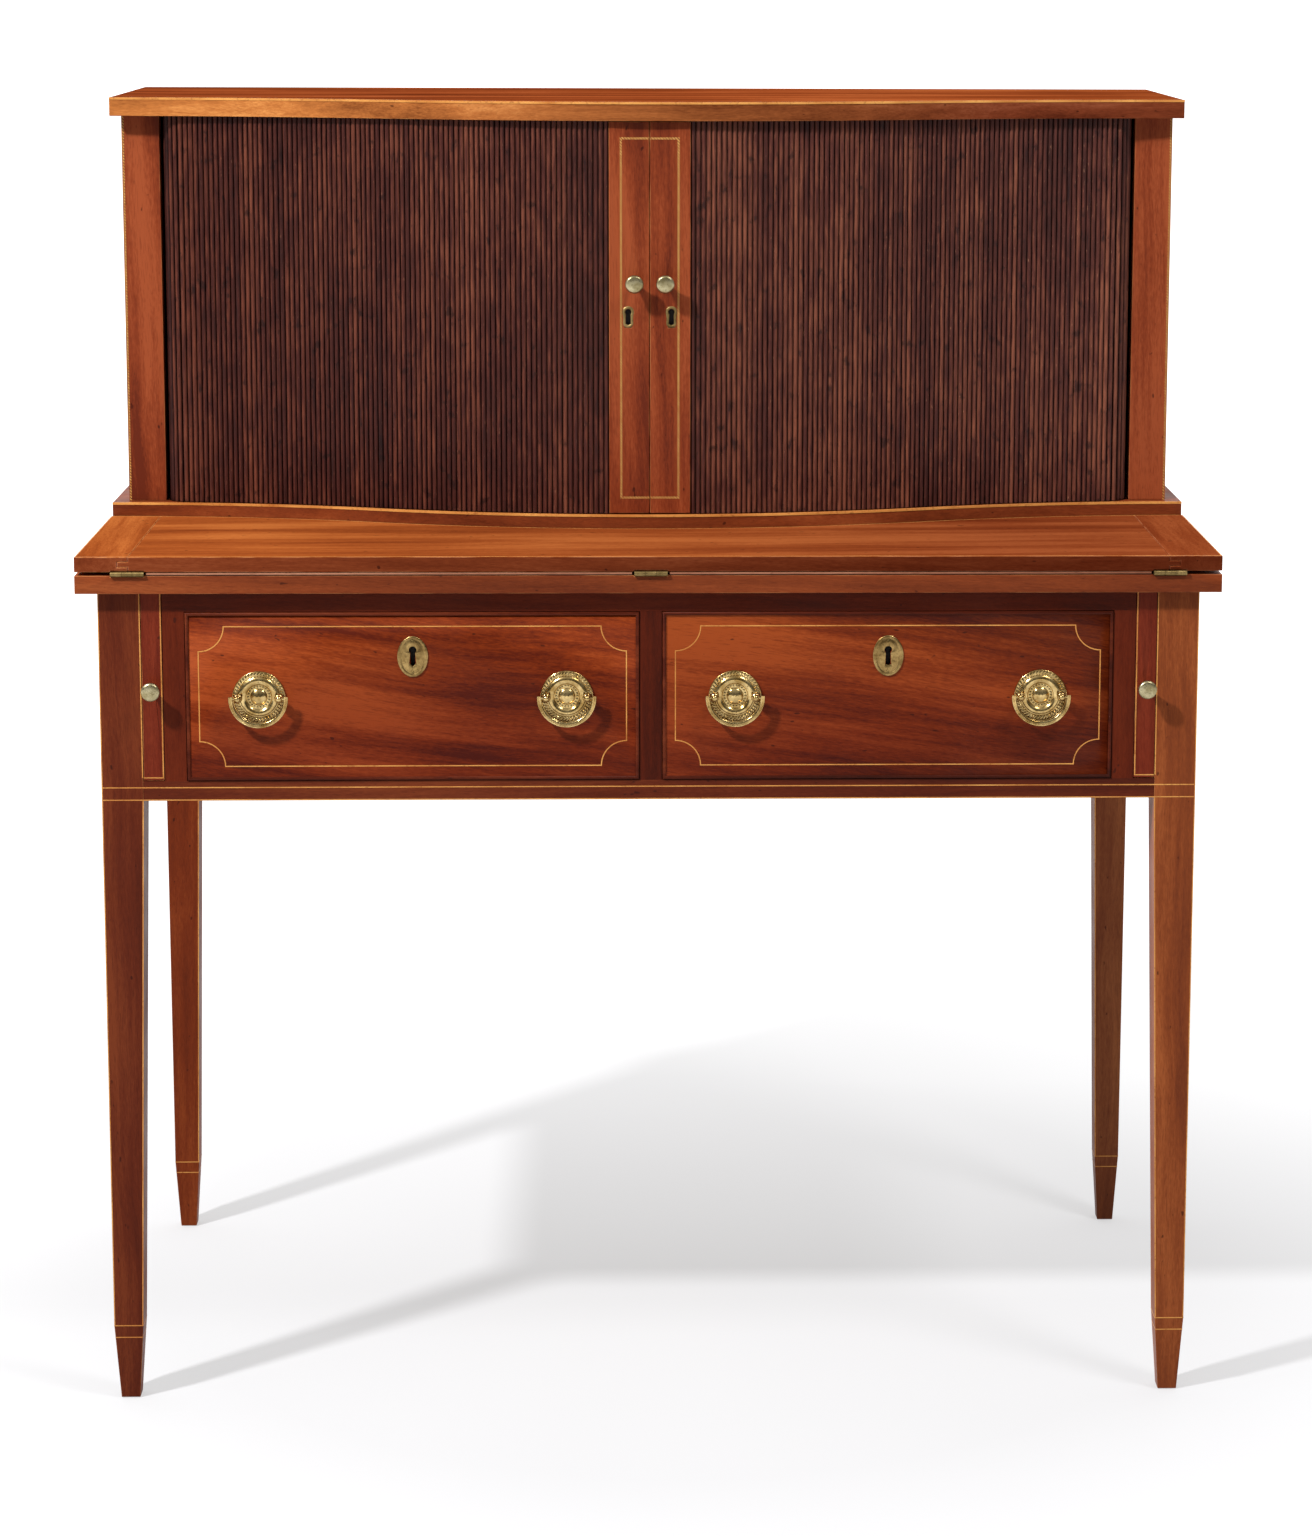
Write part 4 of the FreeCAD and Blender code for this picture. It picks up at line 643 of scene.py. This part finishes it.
STRING = 0.92 * MM
DRAWER_STRING = 0.95 * MM
CUFF = 66.9 * MM  # height of the upper line round a foot
CUFF_BAND = 10.9 * MM  # from there down to the lower one
case_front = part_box("leg_front_left")[0].y
case_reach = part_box("leg_front_right")[1].x
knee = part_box("bottom_rail")[0].z
leg_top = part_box("leg_front_left")[1].z
KNEE_LINES = (knee + STRING * 0.7, knee + 11.4 * MM)
LOPER_LINE = 2.4 * MM  # foot of a leaf support up to the line across it


def cuff_strings(node):
    """The two lines round the foot of one leg."""
    foot, waist = ring(node, 0), ring(node, CUFF)
    strips = []
    for drop in (0.0, CUFF_BAND):
        low = foot[0].lerp(waist[0], 1 - drop / CUFF)
        high = foot[1].lerp(waist[1], 1 - drop / CUFF)
        plan = ((low.x, low.y), (high.x, low.y), (high.x, high.y), (low.x, high.y))
        corners = [Vector((x, y, low.z)) for x, y in plan]
        for start, end in zip(corners, corners[1:] + corners[:1]):
            strips.append(((start, end), (end - start).cross(UP), STRING, False))
    return strips


def leg_strings():
    """The lines down the front corners of the front legs and the inner corners of the rear ones."""
    strips = []
    inset, gap = STRING * 0.55, STRING * 0.6
    outer_spans = ((KNEE_LINES[0] + gap, KNEE_LINES[1] - gap), (KNEE_LINES[1] + gap, leg_top))
    for label, side in SIDES:
        inner_spans = ((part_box(f"loper_{label}")[0].z + LOPER_LINE, leg_top),)
        inner = 1 if side < 0 else 0
        for row, picks in (("front", (inner, 1 - inner)), ("rear", (inner,))):
            node = f"leg_{row}_{label}"
            waist, bend = ring(node, CUFF), ring(node, knee)
            for pick in picks:
                shift = (inset, -inset)[pick]
                ends = ((waist, CUFF + gap), (bend, knee))
                line = [(corners[pick].x + shift, corners[0].y, z) for corners, z in ends]
                strips.append((line, FRONT, STRING, False))
                x = bend[pick].x + shift
                for span in inner_spans if pick == inner else outer_spans:
                    if row == "front":
                        strips.append(([(x, case_front, z) for z in span], FRONT, STRING, False))
        for row in ("front", "rear"):
            strips += cuff_strings(f"leg_{row}_{label}")
    return strips


def case_strings():
    """The two lines along the foot of the case, over the rail and the legs."""
    ends = (-case_reach, case_reach)
    return [([(x, case_front, z) for x in ends], FRONT, STRING, False) for z in KNEE_LINES]


inlay("case_strings", "case", leg_strings() + case_strings())


def loper_string(side, label):
    """The line along the inner edge and the foot of the end of a leaf support."""
    low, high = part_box(f"loper_{label}")
    inner = (low.x if side > 0 else high.x) + STRING * side
    outer = high.x if side > 0 else low.x
    foot = low.z + LOPER_LINE
    line = ((inner, low.y, high.z), (inner, low.y, foot), (outer, low.y, foot))
    return [(line, FRONT, STRING, False)]


def drawer_string(label):
    """The line let into a drawer front: a rectangle with hollow corners."""
    low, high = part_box(f"drawer_{label}_front")
    inset_x, inset_z, hollow = 10.9 * MM, 12.2 * MM, 21.5 * MM
    left, right = low.x + inset_x, high.x - inset_x
    bottom, top = low.z + inset_z, high.z - inset_z
    line = []
    corners = ((left, bottom, 90), (right, bottom, 180), (right, top, 270), (left, top, 360))
    for corner_x, corner_z, start in corners:
        for step in range(13):
            angle = math.radians(start - 90 * step / 12)
            line.append((corner_x + hollow * math.cos(angle), low.y, corner_z + hollow * math.sin(angle)))
    return [(line, FRONT, DRAWER_STRING, True)]


for label, side in SIDES:
    inlay(f"loper_{label}_string", f"loper_{label}", loper_string(side, label))
    inlay(f"drawer_{label}_string", f"drawer_{label}", drawer_string(label))


# The serpentine line that the upper boards, the leaf and the tambours follow.

BULGE = 79 * MM  # the middle of the front in front of its ends
EDGE_STRING = 1.7 * MM
EDGE_RISE = 0.3 * MM  # of that line's upper strip, which ends level with the solid's top
LEAF_GAP = 1 * MM  # between the folded leaf and the base board behind it
LEAF_STRING = 0.8 * MM
base_low, base_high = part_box("upper_base")
setback = base_low.y + BULGE


def arc_points(centre, radius, start, end, step):
    """Points along an arc, at most a step apart."""
    count = max(2, math.ceil(abs(end - start) * radius / step))
    angles = [start + (end - start) * index / count for index in range(count + 1)]
    return [(centre[0] + radius * math.cos(a), centre[1] + radius * math.sin(a)) for a in angles]


def curve_radius(half):
    """The radius of the bulge and of the hollows of a front that reaches so far each way."""
    return (half * half / 4 + BULGE * BULGE / 4) / BULGE


def front_edge(half, setback, step=6 * MM):
    """The plan of a serpentine front from its middle to its right end."""
    radius = curve_radius(half)
    meet = math.atan2(BULGE / 2 - radius, half / 2)
    points = arc_points((0, setback - BULGE + radius), radius, -math.pi / 2, meet, step)
    hollow = arc_points((half, setback - radius), radius, meet + math.pi, math.pi / 2, step)
    return points + hollow[1:]


def edge_string(node):
    """A light line along the upper front edge of a serpentine board, seen from the front and above."""
    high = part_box(node)[1]
    drop = EDGE_RISE + EDGE_STRING / 2
    right = front_edge(high.x, setback)
    plan = [(-x, y) for x, y in reversed(right[1:])] + right
    facings = []
    for index in range(len(plan)):
        before, after = plan[max(0, index - 1)], plan[min(len(plan) - 1, index + 1)]
        facings.append(Vector((after[1] - before[1], before[0] - after[0], 0)).normalized())
    face = [Vector((x, y, high.z - drop)) for x, y in plan]
    above = [Vector((x, y, high.z - EDGE_RISE)) - out * drop for (x, y), out in zip(plan, facings)]
    return [(face, facings, EDGE_STRING, False), (above, UP, EDGE_STRING, False)]


for node in STRUNG:
    inlay(f"{node}_string", "case", edge_string(node), proud=EDGE_RISE)


def leaf_string():
    """A fine light line along the edges of the folding leaf."""
    low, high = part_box("leaf_breadboard_ends")
    inset = 1.1 * MM
    right = front_edge(high.x, setback - LEAF_GAP - inset)
    back = [(-x, y) for x, y in reversed(right[1:])] + right
    back = [(max(low.x + inset, min(high.x - inset, x)), y) for x, y in back]
    line = [(back[0][0], low.y + inset), *back, (back[-1][0], low.y + inset)]
    return [([(x, y, high.z) for x, y in line], UP, LEAF_STRING, True)]


inlay("leaf_string", "leaf", leaf_string())


PILASTER_BAND = 1.5 * MM
STILE_BAND = 1.9 * MM
STILE_BAND_REACH = 25.2 * MM  # from the middle of the desk


def pilaster_bands(label, side):
    """The banding down the outer edge of a pilaster."""
    low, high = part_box(f"pilaster_{label}")
    x = (high.x if side > 0 else low.x) - PILASTER_BAND * side
    return [(((x, low.y, low.z), (x, low.y, high.z)), FRONT, PILASTER_BAND, False)]


def stile_bands(label, side):
    """Half of the banding rectangle across the two lead stiles."""
    low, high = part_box(f"lead_stile_{label}")
    near = low.x if side > 0 else high.x
    far = STILE_BAND_REACH * side
    foot, head = low.z + 14 * MM, high.z - 14.5 * MM
    line = ((near, low.y, foot), (far, low.y, foot), (far, low.y, head), (near, low.y, head))
    return [(line, FRONT, STILE_BAND, False)]


for label, side in SIDES:
    inlay(f"pilaster_{label}_band", "case", pilaster_bands(label, side), ROPE)
    inlay(f"lead_stile_{label}_band", f"tambour_{label}", stile_bands(label, side), ROPE)


# The tambours.

REED_PITCH = 4.55 * MM
REED_WIDTH = 4.35 * MM
REED_DEPTH = 3.8 * MM
CANVAS = 0.6 * MM
LIP = 5.5 * MM  # base board in front of the groove
GROOVE = 5.4 * MM  # its width
TURN = 18 * MM  # radius of its turn inside the case
SIDE_RUN = 4.5 * MM  # pilaster to the middle of the groove beside it
TAIL = 28 * MM  # shut tambour behind that turn
SLACK = 0.3 * MM  # between the reeds and the boards that they slide past
groove_setback = LIP + GROOVE / 2
pilaster_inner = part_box("pilaster_right")[0].x


def tambour_path(offset, start_x, step=0.5 * MM):
    """The plan of the right-hand tambour, beside the groove: bulge, hollow, turn and tail."""
    half = base_high.x
    radius = curve_radius(half)
    inner = radius - offset
    corner_x = pilaster_inner - SIDE_RUN - TURN
    corner = TURN + groove_setback - offset
    away = radius + groove_setback + TURN
    gap_x = half - corner_x
    gap_y = math.sqrt(away * away - gap_x * gap_x)
    meet = math.atan2(BULGE / 2 - radius, half / 2)
    start = -math.acos(start_x / inner)
    turn_y = setback - radius + gap_y
    points = arc_points((0, setback - BULGE + radius), inner, start, meet, step)
    toward = math.atan2(gap_y, -gap_x)
    points += arc_points((half, setback - radius), radius + offset, meet + math.pi, toward, step)[1:]
    points += arc_points((corner_x, turn_y), corner, toward - math.pi, 0.0, step)[1:]
    count = math.ceil(TAIL / step)
    points += [(points[-1][0], turn_y + TAIL * (index + 1) / count) for index in range(count)]
    return points


def spaced(points, pitch):
    """Places at equal distances along a line of points, with the direction there."""
    marks = []
    travelled, wanted = 0.0, pitch / 2
    for first, second in zip(points, points[1:]):
        run = Vector(second) - Vector(first)
        while travelled + run.length >= wanted:
            share = (wanted - travelled) / run.length
            marks.append((Vector(first).lerp(Vector(second), share), run.normalized()))
            wanted += pitch
        travelled += run.length
    return marks


def reed_section(width, depth, steps=8):
    """A reed's outline: a flat back and a round front."""
    half = width / 2
    shoulder = depth - half * 0.92
    angles = [math.pi * step / steps for step in range(steps + 1)]
    front = [(half * math.cos(a), shoulder + (depth - shoulder) * math.sin(a)) for a in angles]
    return [(-half, 0.0), (half, 0.0)] + front


def prism(shape, plan, low, high):
    """An upright piece with the same outline all the way up."""
    loops = [[shape.verts.new((x, y, height)) for x, y in plan] for height in (low, high)]
    tube(shape, loops)


def tambour(label, side):
    """The reeds of one tambour and the canvas they are glued to."""
    node = f"tambour_{label}"
    glue = groove_setback - (REED_DEPTH + CANVAS) / 2 + REED_DEPTH
    start_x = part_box("lead_stile_right")[1].x
    chance = random.Random(11 + side)
    foot, head = base_high.z + SLACK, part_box("upper_top")[0].z - SLACK
    shape = bmesh.new()
    tones, crowns = [], []
    tone = 0.5
    for spot, run in spaced(tambour_path(glue, start_x), REED_PITCH):
        outward = Vector((run.y, -run.x))
        tone = min(1.0, max(0.0, 0.5 + (tone - 0.5) * 0.4 + chance.gauss(0, 0.2)))
        width, depth = REED_WIDTH * chance.uniform(0.95, 1.0), REED_DEPTH * chance.uniform(0.94, 1.0)
        section = reed_section(width, depth)
        plan = [spot + run * along + outward * rise for along, rise in section]
        prism(shape, [(p.x * side, p.y) for p in plan], foot, head)
        tones += [tone] * len(section) * 2
        crowns += [rise / REED_DEPTH for _, rise in section] * 2
    reeds = new_piece(f"{node}_reeds", shape, REEDS, node, 50)
    for key, values in (("tone", tones), ("crown", crowns)):
        reeds.data.attributes.new(key, "FLOAT", "POINT").data.foreach_set("value", values)
    cloth = bmesh.new()
    back = tambour_path(glue + CANVAS * 0.6, start_x, 2 * MM)
    plan = tambour_path(glue, start_x, 2 * MM) + back[::-1]
    prism(cloth, [(x * side, y) for x, y in plan], foot, head)
    canvas = new_piece(f"{node}_canvas", cloth, LINEN, node)
    for piece in (reeds, canvas):
        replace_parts(piece, node)
        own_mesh(piece)


for label, side in SIDES:
    tambour(label, side)


# Brass.


def scaled(profile):
    """A profile given in millimetres."""
    return [(radius * MM, forward * MM) for radius, forward in profile]


KNOB = scaled(
    [(0, -10), (2, -10), (2, 0), (4.6, 0), (5.0, 0.4), (5.0, 1.3), (4.6, 1.7), (3.3, 1.8)]
    + flowing([(2.9, 2.4), (2.6, 4.0), (2.9, 6.2), (4.4, 9.4), (6.6, 12.4), (7.7, 13.4)])
    + [(8.0, 13.9), (8.0, 14.8), (7.7, 15.5), (7.1, 16.1), (6.6, 16.4), (5.4, 16.7), (3.0, 16.9), (0, 17)]
)
for name in ("loper_knob_left", "loper_knob_right", "lead_knob_left", "lead_knob_right"):
    low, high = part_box(name)
    middle = Vector(((low.x + high.x) / 2, high.y - 10 * MM, (low.z + high.z) / 2))
    turned(f"{name}_turned", nodes[name]["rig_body"], middle, KNOB, KNOB_BRASS, 48, name)

TURNS = [math.radians(angle) for angle in range(0, 90, 15)]
POST = scaled(
    [(0, -21), (1.9, -21), (1.9, 5.4), (3.2, 5.5), (3.8, 5.9), (4.0, 6.6)]
    + [(3.9, 7.6), (3.5, 8.6), (2.9, 9.0)]
    + [(2.75 * math.cos(turn), 9.7 + 2.75 * math.sin(turn)) for turn in TURNS]
    + [(0, 12.45)]
)
NUT = scaled([(1.9, -21), (4.0, -21), (4.5, -20.5), (4.5, -18.3), (4.2, -18), (1.9, -18)])
LEAVES = 44
BEADS = 22
# A back plate in millimetres: its radius, then where its rim, leafy band, ring, beads, step and button
# end, from the outside in.
PLATE, RIM, LEAFY, RING, BEADED, STEP, BUTTON = 22.5, 21.4, 17.8, 10.4, 7.2, 6.4, 1.2


def plate_height(radius, angle):
    """The relief of a pressed back plate, in millimetres above the wood."""
    if radius > RIM:
        return 0.9 + 0.9 * math.sin(math.pi * min(1, (PLATE - radius) / (PLATE - RIM))) ** 0.6
    if radius > LEAFY:
        up = (radius - LEAFY) / (RIM - LEAFY)
        lean = (LEAVES * angle / (2 * math.pi) + 0.7 * up) % 1
        leaf = max(0.0, 1 - abs(lean - 0.5) * 2.6) ** 0.6
        return 0.75 + 0.85 * leaf * math.sin(math.pi * min(1, up * 0.9 + 0.12))
    if radius > RING:
        return 0.8 + 2.0 * math.sin(math.pi * (LEAFY - radius) / (LEAFY - RING)) ** 0.7
    if radius > BEADED:
        swell = math.cos(BEADS * angle / 2) ** 2
        return 0.7 + 0.5 * swell * max(0.0, 1 - abs(radius - 9.0) / 1.0) ** 0.5
    if radius > STEP:
        return 0.7 + 1.1 * (BEADED - radius) / (BEADED - STEP)
    if radius > BUTTON:
        return 1.8 + 1.9 * (1 - ((radius - BUTTON) / (STEP - BUTTON)) ** 1.6)
    return 3.95


def back_plate(name, body, centre):
    """A pressed round back plate with a leafy band, a raised ring and a button."""
    shape = bmesh.new()
    count = LEAVES * 6
    radii = [22.5, 22.5, 22.2, 21.9, 21.6, 21.4, 21.2, 20.6, 20.0, 19.4, 18.8, 18.3, 18.0, 17.8, 17.4]
    radii += [16.9 - 0.6 * step for step in range(11)] + [10.4, 10.0, 9.5, 9.0, 8.5, 8.0, 7.6, 7.2]
    radii += [6.8, 6.4, 5.8, 5.1, 4.3, 3.5, 2.7, 1.9, 1.2, 1.1, 0.5]
    rings = []
    for index, radius in enumerate(radii):
        loop = []
        for step in range(count):
            angle = 2 * math.pi * step / count
            lift = 0 if index == 0 else plate_height(radius, angle)
            point = Vector((radius * math.cos(angle), -lift, radius * math.sin(angle))) * MM
            loop.append(shape.verts.new(centre + point))
        rings.append(loop)
    tube(shape, rings, closed=False)
    shape.faces.new(rings[-1])
    return new_piece(name, shape, BRASS, body, 60)


# A bail's section: share of its width from the inside out, and millimetres forward of its middle.
BAIL = ((0.0, -1.25), (0.0, 0.7), (0.12, 1.1), (0.4, 1.15), (0.52, 0.75), (0.66, 0.8), (0.76, 1.25))
BAIL += ((0.9, 1.25), (1.0, 0.85), (1.0, -1.25))
BAIL_RADIUS, BAIL_END, BAIL_SWELL, POST_SPREAD = 25.2, 3.4, 0.6, 17.4


def bail(name, node, centre):
    """A flat crescent bail with a beaded edge, turned up at its ends, on two pins."""
    shape = bmesh.new()
    rings = []
    count = 72
    inner = BAIL_RADIUS - BAIL_END
    for step in range(-1, count + 2):
        angle = math.pi + math.pi * min(max(step, 0), count) / count
        lift = 1.6 if step in (-1, count + 1) else 0.0
        near = BAIL_SWELL * math.sin(angle) + math.sqrt(inner ** 2 - (BAIL_SWELL * math.cos(angle)) ** 2)
        loop = []
        for share, forward in BAIL:
            radius = near + (BAIL_RADIUS - near) * share
            point = Vector((radius * math.cos(angle), -forward, radius * math.sin(angle) + lift)) * MM
            loop.append(shape.verts.new(centre + point))
        rings.append(loop)
    tube(shape, rings)
    for hand in (-1, 1):
        loops = []
        for reach in (POST_SPREAD + 0.3, inner + 0.6):
            points = circle(1.2, 16)
            loops.append([shape.verts.new(centre + Vector((reach * hand, y, z)) * MM) for y, z in points])
        tube(shape, loops)
    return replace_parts(new_piece(name, shape, BRASS, nodes[node]["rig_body"], 40), node)


def pulls(label):
    """The plates, posts, nuts and bails of one drawer."""
    node, body = f"drawer_{label}_pulls", f"drawer_{label}"
    wood_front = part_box(f"drawer_{label}_front")[0].y
    for place in ("inner", "outer"):
        low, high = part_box(f"bail_{label}_{place}")
        height = high.z - BAIL_END / 2 * MM
        centre = Vector(((low.x + high.x) / 2, wood_front, height))
        made = [back_plate(f"plate_{label}_{place}", body, centre)]
        for word, hand in SIDES:
            spot = centre + Vector((POST_SPREAD * MM * hand, 0, 0))
            made.append(turned(f"post_{label}_{place}_{word}", body, spot, POST, BRASS, 32))
            made.append(turned(f"nut_{label}_{place}_{word}", body, spot, NUT, DULL_BRASS, 6))
        for piece in made:
            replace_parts(piece, node)
        pivot = Vector((centre.x, (low.y + high.y) / 2, height))
        bail(f"bail_{label}_{place}_turned", f"bail_{label}_{place}", pivot)


for label, side in SIDES:
    pulls(label)


def evenly(corners, count):
    """Points at equal distances round a closed outline."""
    sides = [(a, b, (b - a).length) for a, b in zip(corners, corners[1:] + corners[:1])]
    total = sum(length for _, _, length in sides)
    points = []
    for index in range(count):
        wanted = total * index / count
        for start, end, length in sides:
            if wanted <= length:
                points.append(start.lerp(end, wanted / length))
                break
            wanted -= length
    return points


def mirrored(half):
    """A closed outline from its right half, which runs from the bottom up to the top."""
    return [Vector(p) for p in half] + [Vector((-x, z)) for x, z in reversed(half) if x > 1e-9]


def key_half(head, neck, foot, height, point):
    """Half a keyhole: a round head on a slot that spreads towards its foot."""
    centre = height / 2 - head
    start = -math.acos(neck / head)
    arc = [start + (math.pi / 2 - start) * step / 12 for step in range(13)]
    half = [(0.0, -height / 2), (foot, point - height / 2)]
    return half + [(head * math.cos(a), centre + head * math.sin(a)) for a in arc]


def keyed_plate(name, body, centre, outside, hole, levels, metal):
    """A plate with a keyhole: levels are (share of the way out from the hole, height above the wood)."""
    count = 96
    shape = bmesh.new()
    near, far = evenly(hole, count), evenly(outside, count)
    rings = []
    for share, lift in levels:
        points = [a.lerp(b, share) for a, b in zip(near, far)]
        rings.append([shape.verts.new(centre + Vector((p.x, -lift, p.y)) * MM) for p in points])
    tube(shape, rings, closed=False)
    return new_piece(name, shape, metal, body, 50)


PIN = scaled([(1.0, 0.9), (0.95, 1.25), (0.7, 1.5), (0, 1.6)])
PLATE_LEVELS = ((0, -0.6), (0, 0.8), (0.04, 1.0), (0.6, 1.0), (0.66, 0.7), (0.7, 0.7), (0.76, 1.3))
PLATE_LEVELS += ((0.84, 1.4), (0.93, 1.3), (1, 0.8), (1, 0))
RIM_LEVELS = ((0, -1.4), (0, 0.0), (0.2, 0.45), (0.5, 0.6), (0.8, 0.45), (1, 0.0))
DRAWER_KEYS = {"left": key_half(3.3, 2.1, 3.0, 17.6, 3.0), "right": key_half(3.3, 2.1, 2.6, 16.6, 0.8)}
LEAD_PLATE = ((0.0, -9.6), (2.4, -9.0), (4.1, -7.4), (4.6, -5.0), (4.2, -1.5), (4.6, 1.5), (5.0, 4.6))
LEAD_PLATE += ((4.4, 7.4), (2.6, 9.2), (0.0, 9.7))
LEAD_KEY = key_half(2.7, 1.9, 2.2, 14.2, 1.2)
PIN_RISE = 13.4 * MM  # from the middle of an escutcheon up or down to its pin
for label, side in SIDES:
    name = f"drawer_{label}_escutcheon"
    low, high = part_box(name)
    centre = Vector(((low.x + high.x) / 2, high.y, (low.z + high.z) / 2))
    wide, tall = (high.x - low.x) / 2 / MM, (high.z - low.z) / 2 / MM
    turns = [math.pi * step / 48 - math.pi / 2 for step in range(49)]
    oval = mirrored([(wide * math.cos(a), tall * math.sin(a)) for a in turns])
    hole = mirrored(DRAWER_KEYS[label])
    plate = keyed_plate(f"{name}_plate", f"drawer_{label}", centre, oval, hole, PLATE_LEVELS, PLATE_BRASS)
    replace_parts(plate, name)
    for word, rise in (("upper", PIN_RISE), ("lower", -PIN_RISE)):
        turned(f"{name}_{word}_pin", f"drawer_{label}", centre + UP * rise, PIN, DULL_BRASS, 20)
    low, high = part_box(f"lead_lock_{label}")
    centre = Vector(((low.x + high.x) / 2, low.y, (low.z + high.z) / 2))
    outer, hole = mirrored(LEAD_PLATE), mirrored(LEAD_KEY)
    name, body = f"lead_keyhole_{label}_rim", f"tambour_{label}"
    keyed_plate(name, body, centre, outer, hole, RIM_LEVELS, DULL_BRASS)


# Floor, light and camera.

scene = bpy.context.scene
scene.view_settings.view_transform = "Standard"
scene.view_settings.look = "None"

FLOOR_REACH = 400
FLOOR_DROP = 0.5 * MM
# How much the floor shines by itself, from and to where: towards the back, and with distance.
DEPTH_GLOW = (0.0, 0.7, 0.46, 0.64)
DISTANT_GLOW = ((0.85, 1.4, 0.0, 0.12), (1.6, 6.0, 0.0, 0.6))
SHARED_GLOW = 0.25  # share of it that falls on other things
# The room: from and to which share of a look's direction along an axis, and how bright it is there.
ROOM = (("Y", -0.1, 0.4, 0.12, 1.0), ("Z", 0.3, 0.8, 0.12, 0.6))
BACKDROP = 1.05  # brightness behind everything that the camera sees
# Lamps: power in watts, place and size.
LAMPS = {"key": (195, (-2.31, -1.89, 3.51), 0.3), "second": (44, (1.63, -1.4, 3.5), 0.8)}
AIM = Vector((0, 0, 0.5))


def floor():
    """A white floor that glows a little by itself, like a studio table lit from below; the glow is
    painted light, stronger towards the back and far from the desk, so that shadows fade out there.
    """
    shape = bmesh.new()
    corners = ((-1, -1), (1, -1), (1, 1), (-1, 1))
    points = [Vector((x * FLOOR_REACH, y * FLOOR_REACH, -FLOOR_DROP)) for x, y in corners]
    shape.faces.new([shape.verts.new(point) for point in points])
    mesh = bpy.data.meshes.new("floor")
    shape.to_mesh(mesh)
    shape.free()
    tree = Tree("floor_white")
    here = tree.place()
    colour = tree.ramp(tree.cloud(here, 1.5), ((0.3, tint(152, 152, 154)), (0.7, tint(156, 156, 158))))
    glow = tree.level(tree.part(here, "Y"), *DEPTH_GLOW)
    spread = tree.mapped(here, (1.7, 1.5, 1), (-0.05, -0.22, 0))
    away = tree.add("ShaderNodeVectorMath", {0: spread}, operation="LENGTH").outputs["Value"]
    for more in DISTANT_GLOW:
        glow = tree.math("ADD", glow, tree.level(away, *more))
    scattered = tree.add("ShaderNodeLightPath").outputs["Is Diffuse Ray"]
    glow = tree.math("MULTIPLY", glow, tree.level(scattered, 0.0, 1.0, 1.0, SHARED_GLOW))
    tree.feed(tree.shader.inputs["Emission Strength"], glow)
    mesh.materials.append(tree.finish(colour, 0.9, Emission_Color=(1, 1, 1, 1), Specular_IOR_Level=0.1))
    stand("floor", mesh)


def studio():
    """A dim room with a paler ceiling, and a white wall behind the desk."""
    tree = Tree("studio", "worlds")
    look = tree.add("ShaderNodeTexCoord").outputs["Generated"]
    seen = tree.add("ShaderNodeLightPath").outputs["Is Camera Ray"]
    bright = tree.level(seen, 0.0, 1.0, 0.0, BACKDROP)
    for axis, *span in ROOM:
        bright = tree.math("MAXIMUM", bright, tree.level(tree.part(look, axis), *span))
    tree.feed(tree.nodes["Background"].inputs["Color"], bright)
    scene.world = tree.owner


def lamp(name, energy, place, size):
    """A round soft light that shines at the desk."""
    light = bpy.data.lights.new(name, "AREA")
    light.shape = "DISK"
    light.energy = energy
    light.size = size
    holder = stand(name, light)
    holder.location = place
    holder.rotation_euler = (AIM - Vector(place)).to_track_quat("-Z", "Y").to_euler()


floor()
studio()
for name, settings in LAMPS.items():
    lamp(name, *settings)

CAMERA_PLACE = Vector((-17.8, -3408.86, 1253.1)) * MM
CAMERA_TILT, CAMERA_ROLL, CAMERA_TURN = -0.15792, 0.00372, -0.03221  # radians
IMAGE_WIDTH, IMAGE_HEIGHT = 1312, 1536
FOCAL, CENTRE_X, CENTRE_Y = 3802.3, 750.8, 553.0
SENSOR = 36


def camera():
    """The camera, from its place, its turns, and its focal length and centre in pixels of the image."""
    data = bpy.data.cameras.new("camera")
    holder = stand("camera", data)
    data.sensor_width = SENSOR
    data.lens = FOCAL / IMAGE_HEIGHT * data.sensor_width
    data.shift_x = (IMAGE_WIDTH / 2 - CENTRE_X) / IMAGE_HEIGHT
    data.shift_y = (CENTRE_Y - IMAGE_HEIGHT / 2) / IMAGE_HEIGHT
    right = Vector((math.cos(CAMERA_TURN), math.sin(CAMERA_TURN), 0))
    level = Vector((-math.sin(CAMERA_TURN), math.cos(CAMERA_TURN), 0))
    ahead = level * math.cos(CAMERA_TILT) + UP * math.sin(CAMERA_TILT)
    above = UP * math.cos(CAMERA_TILT) - level * math.sin(CAMERA_TILT)
    across = right * math.cos(CAMERA_ROLL) + above * math.sin(CAMERA_ROLL)
    upward = above * math.cos(CAMERA_ROLL) - right * math.sin(CAMERA_ROLL)
    turned_to = Matrix((across, upward, -ahead)).transposed().to_4x4()
    holder.matrix_world = Matrix.Translation(CAMERA_PLACE) @ turned_to
    scene.camera = holder


camera()
